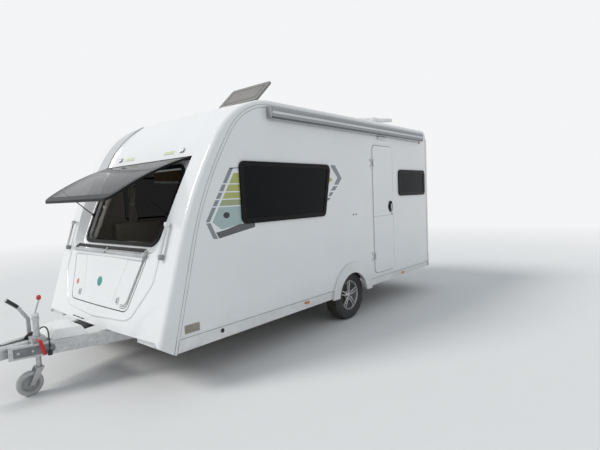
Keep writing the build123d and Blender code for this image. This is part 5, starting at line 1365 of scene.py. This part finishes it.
def rear_fittings():
    """The rear lamp clusters, high lamps and the line above the bumper."""
    lamp_z, out = 0.455, (-1, 0, 0)
    for side, name in SIDES:
        outline = [(side * 0.86 + across, lamp_z + up) for across, up in rounded(0.33, 0.11, 0.04)]
        base = plate("rear_lamp_base_" + name, [outline], 0.006, (-3.009, 0, 0), (0, -1, 0), Z)
        base.scale = (1, -1, 1)
        settle(base)
        done(base, BLACK_PLASTIC)
        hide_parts("rear_lamps")
        rings = []
        for place, radius, finish, kind in (
                (0.755, 0.041, AMBER_LENS, "turn"), (0.86, 0.046, RED_LENS, "stop"),
                (0.963, 0.038, CLEAR_LENS, "reverse")):
            at, rim = (-3.012, side * place, lamp_z), radius + 0.0045
            dome = [(0.0002, 0.0076), (radius * 0.55, 0.007), (radius * 0.88, 0.005), (radius, 0.0015),
                    (radius, -0.001), (0.0002, -0.001)]
            done(spun("rear_lamp_" + kind + "_" + name, dome, at, out, 40), finish, 50.0)
            ring = [(radius, -0.001), (rim, -0.001), (rim, 0.003), (radius + 0.001, 0.0042),
                    (radius, 0.0035)]
            rings.append(spun("ring", ring, at, out, 40))
        group("rear_lamp_rings_" + name, rings, SILVER_ANODISED)
    high = [block("lamp", (-2.981, y - 0.045, 2.262), (-2.969, y + 0.045, 2.284), 0.004, 2)
            for y in (0.62, -0.62)]
    high.append(block("lamp", (-2.98, -0.13, 2.3), (-2.969, 0.13, 2.32), 0.004, 2))
    group("rear_high_lamps", high, RED_LENS)
    done(block("rear_bumper_line", (-2.9712, -1.045, 0.562), (-2.969, 1.045, 0.5655)), GREY_PLASTIC)


def skylight_parts():
    """The skylight's seal and screen, and the inner rim and latches of its open lid."""
    sides = [
        ((-0.088, 0.013), (-0.07, 0.647)), ((0.232, 0.013), (0.25, 0.647)),
        ((-0.07, 0.013), (0.232, 0.031)), ((-0.07, 0.629), (0.232, 0.647))]
    seal = [block("seal", (*low, 2.5595), (*high, 2.5622), 0.0008, 1) for low, high in sides]
    group("skylight_seal", seal, BLACK_RUBBER)
    done(block("skylight_screen", (-0.06, 0.041, 2.494), (0.223, 0.619, 2.498)), FLY_SCREEN)
    turn = math.radians(44.0)
    along, out = Vector((-math.cos(turn), 0, math.sin(turn))), Vector((math.sin(turn), 0, math.cos(turn)))
    pin, lid = Vector((0.268, 0.33, 2.566)), body_of("sky_lid")

    def lid_point(reach, across, height):
        return pin + along * reach + Vector((0, across, 0)) + out * height

    def lid_ring(name, near, far, half, height, radius, sides):
        spots = ((near, -half), (far, -half), (far, half), (near, half))
        return bar(name, [lid_point(*spot, height) for spot in spots], radius, sides, True, False)

    done(lid_ring("skylight_lid_rim", 0.062, 0.312, 0.27, 0.001, 0.006, 3), WHITE_TRIM, 60.0, lid)
    catch = [rounded(0.05, 0.024, 0.006)]
    latches = [
        plate("latch", catch, 0.012, lid_point(0.285, across, -0.004), Y, along)
        for across in (-0.15, 0.15)]
    group("skylight_latches", latches, BLACK_PLASTIC, body=lid)
    done(lid_ring("skylight_lid_step", 0.075, 0.305, 0.262, 0.0222, 0.0035, 2), SKY_ACRYLIC, 60.0, lid)


def aerial():
    """The roof aerial's pedestal, its hub and its flat pointed wing."""
    x, y, foot_z = -1.8, 0.82, 2.48
    pedestal = [
        (0.0002, 0.0), (0.064, 0.0), (0.0635, 0.004), (0.057, 0.018), (0.054, 0.052), (0.0002, 0.052)]
    foot = spun("aerial_foot", pedestal, (x, y, foot_z), Z, 48)
    dome = [(0.0002, 0.048), (0.078, 0.048), (0.09, 0.058), (0.092, 0.08), (0.086, 0.1), (0.064, 0.114),
            (0.032, 0.119), (0.0002, 0.12)]
    hub = spun("aerial_hub", dome, (x, y, foot_z), Z, 48)
    turn = math.radians(43.0)
    outline = [
        (-0.25, -0.092), (-0.212, -0.106), (0.288, -0.018), (0.297, 0.0), (0.288, 0.018), (-0.212, 0.106),
        (-0.25, 0.092)]
    wing = plate(
        "aerial_wing", [outline], 0.048, (x, y, 2.556), (-math.cos(turn), math.sin(turn), 0),
        (-math.sin(turn), -math.cos(turn), 0))
    soften(wing, 0.014, 4, 40.0)
    whole = join("roof_aerial", [foot, hub, wing])
    done(whole, WHITE_TRIM, 50.0)
    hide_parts("antenna")


def under_parts():
    """The brake rod and the two dampers of the axle, under the floor."""
    rod = [(2.215, 0, 0.352), (1.2, 0, 0.338), (-0.56, 0, 0.33)]
    done(bar("brake_rod", rod, 0.006, 2), GALVANISED)
    for side, name in SIDES:
        damper = disc(
            "axle_damper_" + name, (-0.76, side * 0.64, 0.33), 0.024, 0.24, (1, 0, 0.12), 24, 0.003)
        done(damper, BLACK_PLASTIC)


TIE_ROW = 4


def curtain(name, rows, along, across, folds, width):
    """A gathered curtain, through rows of (centre, half width), with a band at one row."""
    along, across = Vector(along), Vector(across)
    lines, longest = [], 0.0
    for index, (centre, half) in enumerate(rows):
        depth = 0.625 * math.sqrt((width / folds / 2) ** 2 - (half / folds) ** 2)
        points = []
        for step in range(8 * folds + 1):
            part = step / (8 * folds)
            swing = math.sin(2 * math.pi * folds * part + 0.35 * math.sin(1.7 * index))
            slow = 0.25 * math.sin(2 * math.pi * 1.5 * part + 0.8 * index)
            points.append(
                Vector(centre) + along * half * (2 * part - 1) + across * depth * (0.8 * swing + slow))
        longest = max(longest, sum((two - one).length for one, two in zip(points, points[1:])))
        lines.append(outlined("row", [points]))
    cloth = join(name, lines)
    edit(cloth)
    bpy.ops.mesh.select_mode(type="EDGE")
    bpy.ops.mesh.select_all(action="SELECT")
    bpy.ops.mesh.bridge_edge_loops(number_cuts=2, interpolation="SURFACE")
    bpy.ops.mesh.select_all(action="SELECT")
    bpy.ops.mesh.normals_make_consistent(inside=False)
    leave()
    modify(cloth, "SOLIDIFY", thickness=0.0012, offset=0.0)
    done(cloth, CURTAIN, 80.0)
    centre, half = rows[TIE_ROW]
    turns = [2 * math.pi * step / 24 for step in range(25)]
    ring = [Vector(centre) + along * (half + 0.006) * math.cos(turn) + across * 0.0265 * math.sin(turn)
            for turn in turns]
    band = ribbon(name + "_tie", ring, 0.016, 0.0022)
    done(band, CURTAIN, 60.0)
    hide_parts("curtains")


def curtains():
    """The pair at the front opening and the pairs at the two big side windows."""
    front = (
        (0.0, 0.043), (0.12, 0.042), (0.3, 0.036), (0.44, 0.026), (0.5, 0.021), (0.56, 0.027),
        (0.72, 0.038), (0.9, 0.042), (1.0, 0.043))
    beside = (
        (0.0, 0.062), (0.15, 0.06), (0.35, 0.05), (0.52, 0.036), (0.58, 0.031), (0.64, 0.038), (0.8, 0.054),
        (1.0, 0.061))
    for side, name in SIDES:
        rows = [((AXLE_X + 2.006 + 0.316 * drop, side * 0.685, 1.846 - 0.692 * drop), half)
                for drop, half in front]
        curtain("curtain_front_" + name, rows, (0, side, 0), X, 4, 0.28)
        for ahead, place in ((0.54, "rear"), (1.67, "fore")):
            rows = [((AXLE_X + ahead, side * 1.015, 1.897 - 0.644 * drop), half) for drop, half in beside]
            curtain("curtain_" + place + "_" + name, rows, X, (0, side, 0), 5, 0.34)


SWELL_CAP = 0.016
VOXEL = 0.0105
SWELL_FRAMES = 20


def swell(piece):
    """Fills a pad under pressure, holding each point within the cap, and smooths it."""
    modify(piece, "REMESH", mode="VOXEL", voxel_size=VOXEL)
    pick(piece)
    start_points = [one.co.copy() for one in piece.data.vertices]
    cloth = piece.modifiers.new("Cloth", "CLOTH")
    cloth.settings.use_pressure = True
    cloth.settings.uniform_pressure_force = 4.0
    cloth.settings.effector_weights.gravity = 0.0
    cloth.settings.quality = 5
    cloth.point_cache.frame_start = 1
    cloth.point_cache.frame_end = SWELL_FRAMES
    for frame_number in range(1, SWELL_FRAMES + 1):
        bpy.context.scene.frame_set(frame_number)
    bpy.ops.object.modifier_apply(modifier=cloth.name)
    for one, before in zip(piece.data.vertices, start_points):
        shift = one.co - before
        if shift.length > SWELL_CAP:
            one.co = before + shift * (SWELL_CAP / shift.length)
    bpy.context.scene.frame_set(1)
    modify(piece, "SMOOTH", factor=0.5, iterations=4)
    modify(piece, "SUBSURF", levels=1, render_levels=1)
    return piece


def pad(name, low, high):
    """A cushion that fills a box: a soft block, swollen, flat where it rests, with a welt round it."""
    piece = swell(block(name, [one + 0.012 for one in low], [one - 0.012 for one in high], 0.018, 3))
    for one in piece.data.vertices:
        one.co.z = max(one.co.z, low[2] + 0.0005)
    points = [tuple(one.co) for one in piece.data.vertices]
    tree = BVHTree.FromPolygons(points, [one.vertices for one in piece.data.polygons])
    spans = [b - a for a, b in zip(low, high)]
    thin = spans.index(min(spans))
    wide = [axis for axis in range(3) if axis != thin]
    middle = Vector([(a + b) / 2 for a, b in zip(low, high)])

    def on_skin(far):
        return tree.ray_cast(far, (middle - far).normalized())[0]

    welt, line = [], []
    for across, up in rounded(spans[wide[0]] - 0.05, spans[wide[1]] - 0.05, 0.04, 8):
        outward = Vector((0, 0, 0))
        outward[wide[0]] = across
        outward[wide[1]] = up
        welt.append(on_skin(middle + outward * 1.6))
    for one, two in zip(welt, welt[1:] + welt[:1]):
        parts = max(1, round((two - one).length / 0.05))
        line += [on_skin(middle + (one.lerp(two, step / parts) - middle) * 1.5) for step in range(parts)]
    cord_line = bar(name + "_welt", line, 0.003, 2, True)
    done(piece, CUSHION, 80.0)
    done(cord_line, CUSHION_WELT, 60.0)
    return piece, cord_line


def cushions():
    """Two seat pads and two back pads along each side."""
    seat, seat_welt = pad("seat_pad_left_fore", (0.483, 0.441, 0.817), (1.154, 1.047, 0.935))
    back, back_welt = pad("back_pad_left_fore", (0.487, 0.905, 0.943), (1.15, 1.04, 1.33))
    pieces = [seat]
    for one, line, kind in ((seat, seat_welt, "seat"), (back, back_welt, "back")):
        for side, shift, place in (
                (1, -0.676, "left_aft"), (-1, 0.0, "right_fore"), (-1, -0.676, "right_aft")):
            name = f"{kind}_pad_{place}"
            for source, label, finish in ((one, name, CUSHION), (line, name + "_welt", CUSHION_WELT)):
                other = mirrored(source, label) if side < 0 else copied(source, label)
                other.location = (shift, 0, 0)
                settle(other)
                done(other, finish, 80.0)
                if source is one:
                    pieces += [other] if one is seat else []
    for one in pieces:
        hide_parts("seat_cushions")


def cabin():
    """Pelmets under the lockers, their doors' lines, the chest's top, the kitchen's top and its doors."""
    strips, boards, lines = [], [], []
    for side in (1, -1):
        face = side * 0.752
        low, high = sorted((face, face + side * 0.016))
        boards.append(block("pelmet", (-1.2, low, 1.79), (0.676, high, 1.952)))
        strips.append(block("strip", (-1.2, low - 0.003, 1.764), (0.676, high + 0.003, 1.79), 0.003, 2))
        for x in (-0.75, -0.29, 0.2):
            lines.append(block("line", (x, face - 0.0015, 1.958), (x + 0.004, face + 0.0015, 2.292)))
    group("locker_pelmets", boards, BOARD)
    group("pelmet_strips", strips, WHITE_TRIM)
    done(block("chest_top", (1.166, -1.05, 1.11), (1.4235, 1.05, 1.118), 0.003, 2), PARTITION)
    done(block("kitchen_top", (-1.298, -1.05, 1.385), (-0.376, -0.506, 1.403), 0.005, 2), GREY_PLASTIC)
    for x in (-1.0, -0.69):
        lines.append(block("line", (x, -0.515, 0.56), (x + 0.004, -0.5125, 1.36)))
    lines.append(block("line", (-1.29, -0.515, 1.13), (-0.39, -0.5125, 1.134)))
    for x in (-0.15, 0.3, 0.75):
        for side in (1, -1):
            low, high = sorted((side * 0.4335, side * 0.435))
            lines.append(block("line", (x, low, 0.54), (x + 0.004, high, 0.8)))
    group("cabin_door_lines", lines, BLACK_PLASTIC)
    pulls = [
        block("pull", (x - 0.03, -0.515, 1.325), (x + 0.03, -0.504, 1.335), 0.003, 2)
        for x in (-1.145, -0.845, -0.54)]
    group("cabin_pulls", pulls, SILVER_ANODISED)


def wheels():
    for side, name in SIDES:
        tyre(side, name)
        alloy_rim(side, name)


lead_and_ends()
wheels()
front_face()
recess()
grab_knuckles()
side_seams()
side_stripes()
sills()
door_parts()
near_side_fittings()
roof_rails()
off_side_fittings()
cabin()
curtains()
cushions()
coupling()
jockey_parts()
rear_fittings()
skylight_parts()
aerial()
under_parts()


# Tail

stage_floor()
studio_light()
bpy.context.scene.view_settings.view_transform = "Standard"
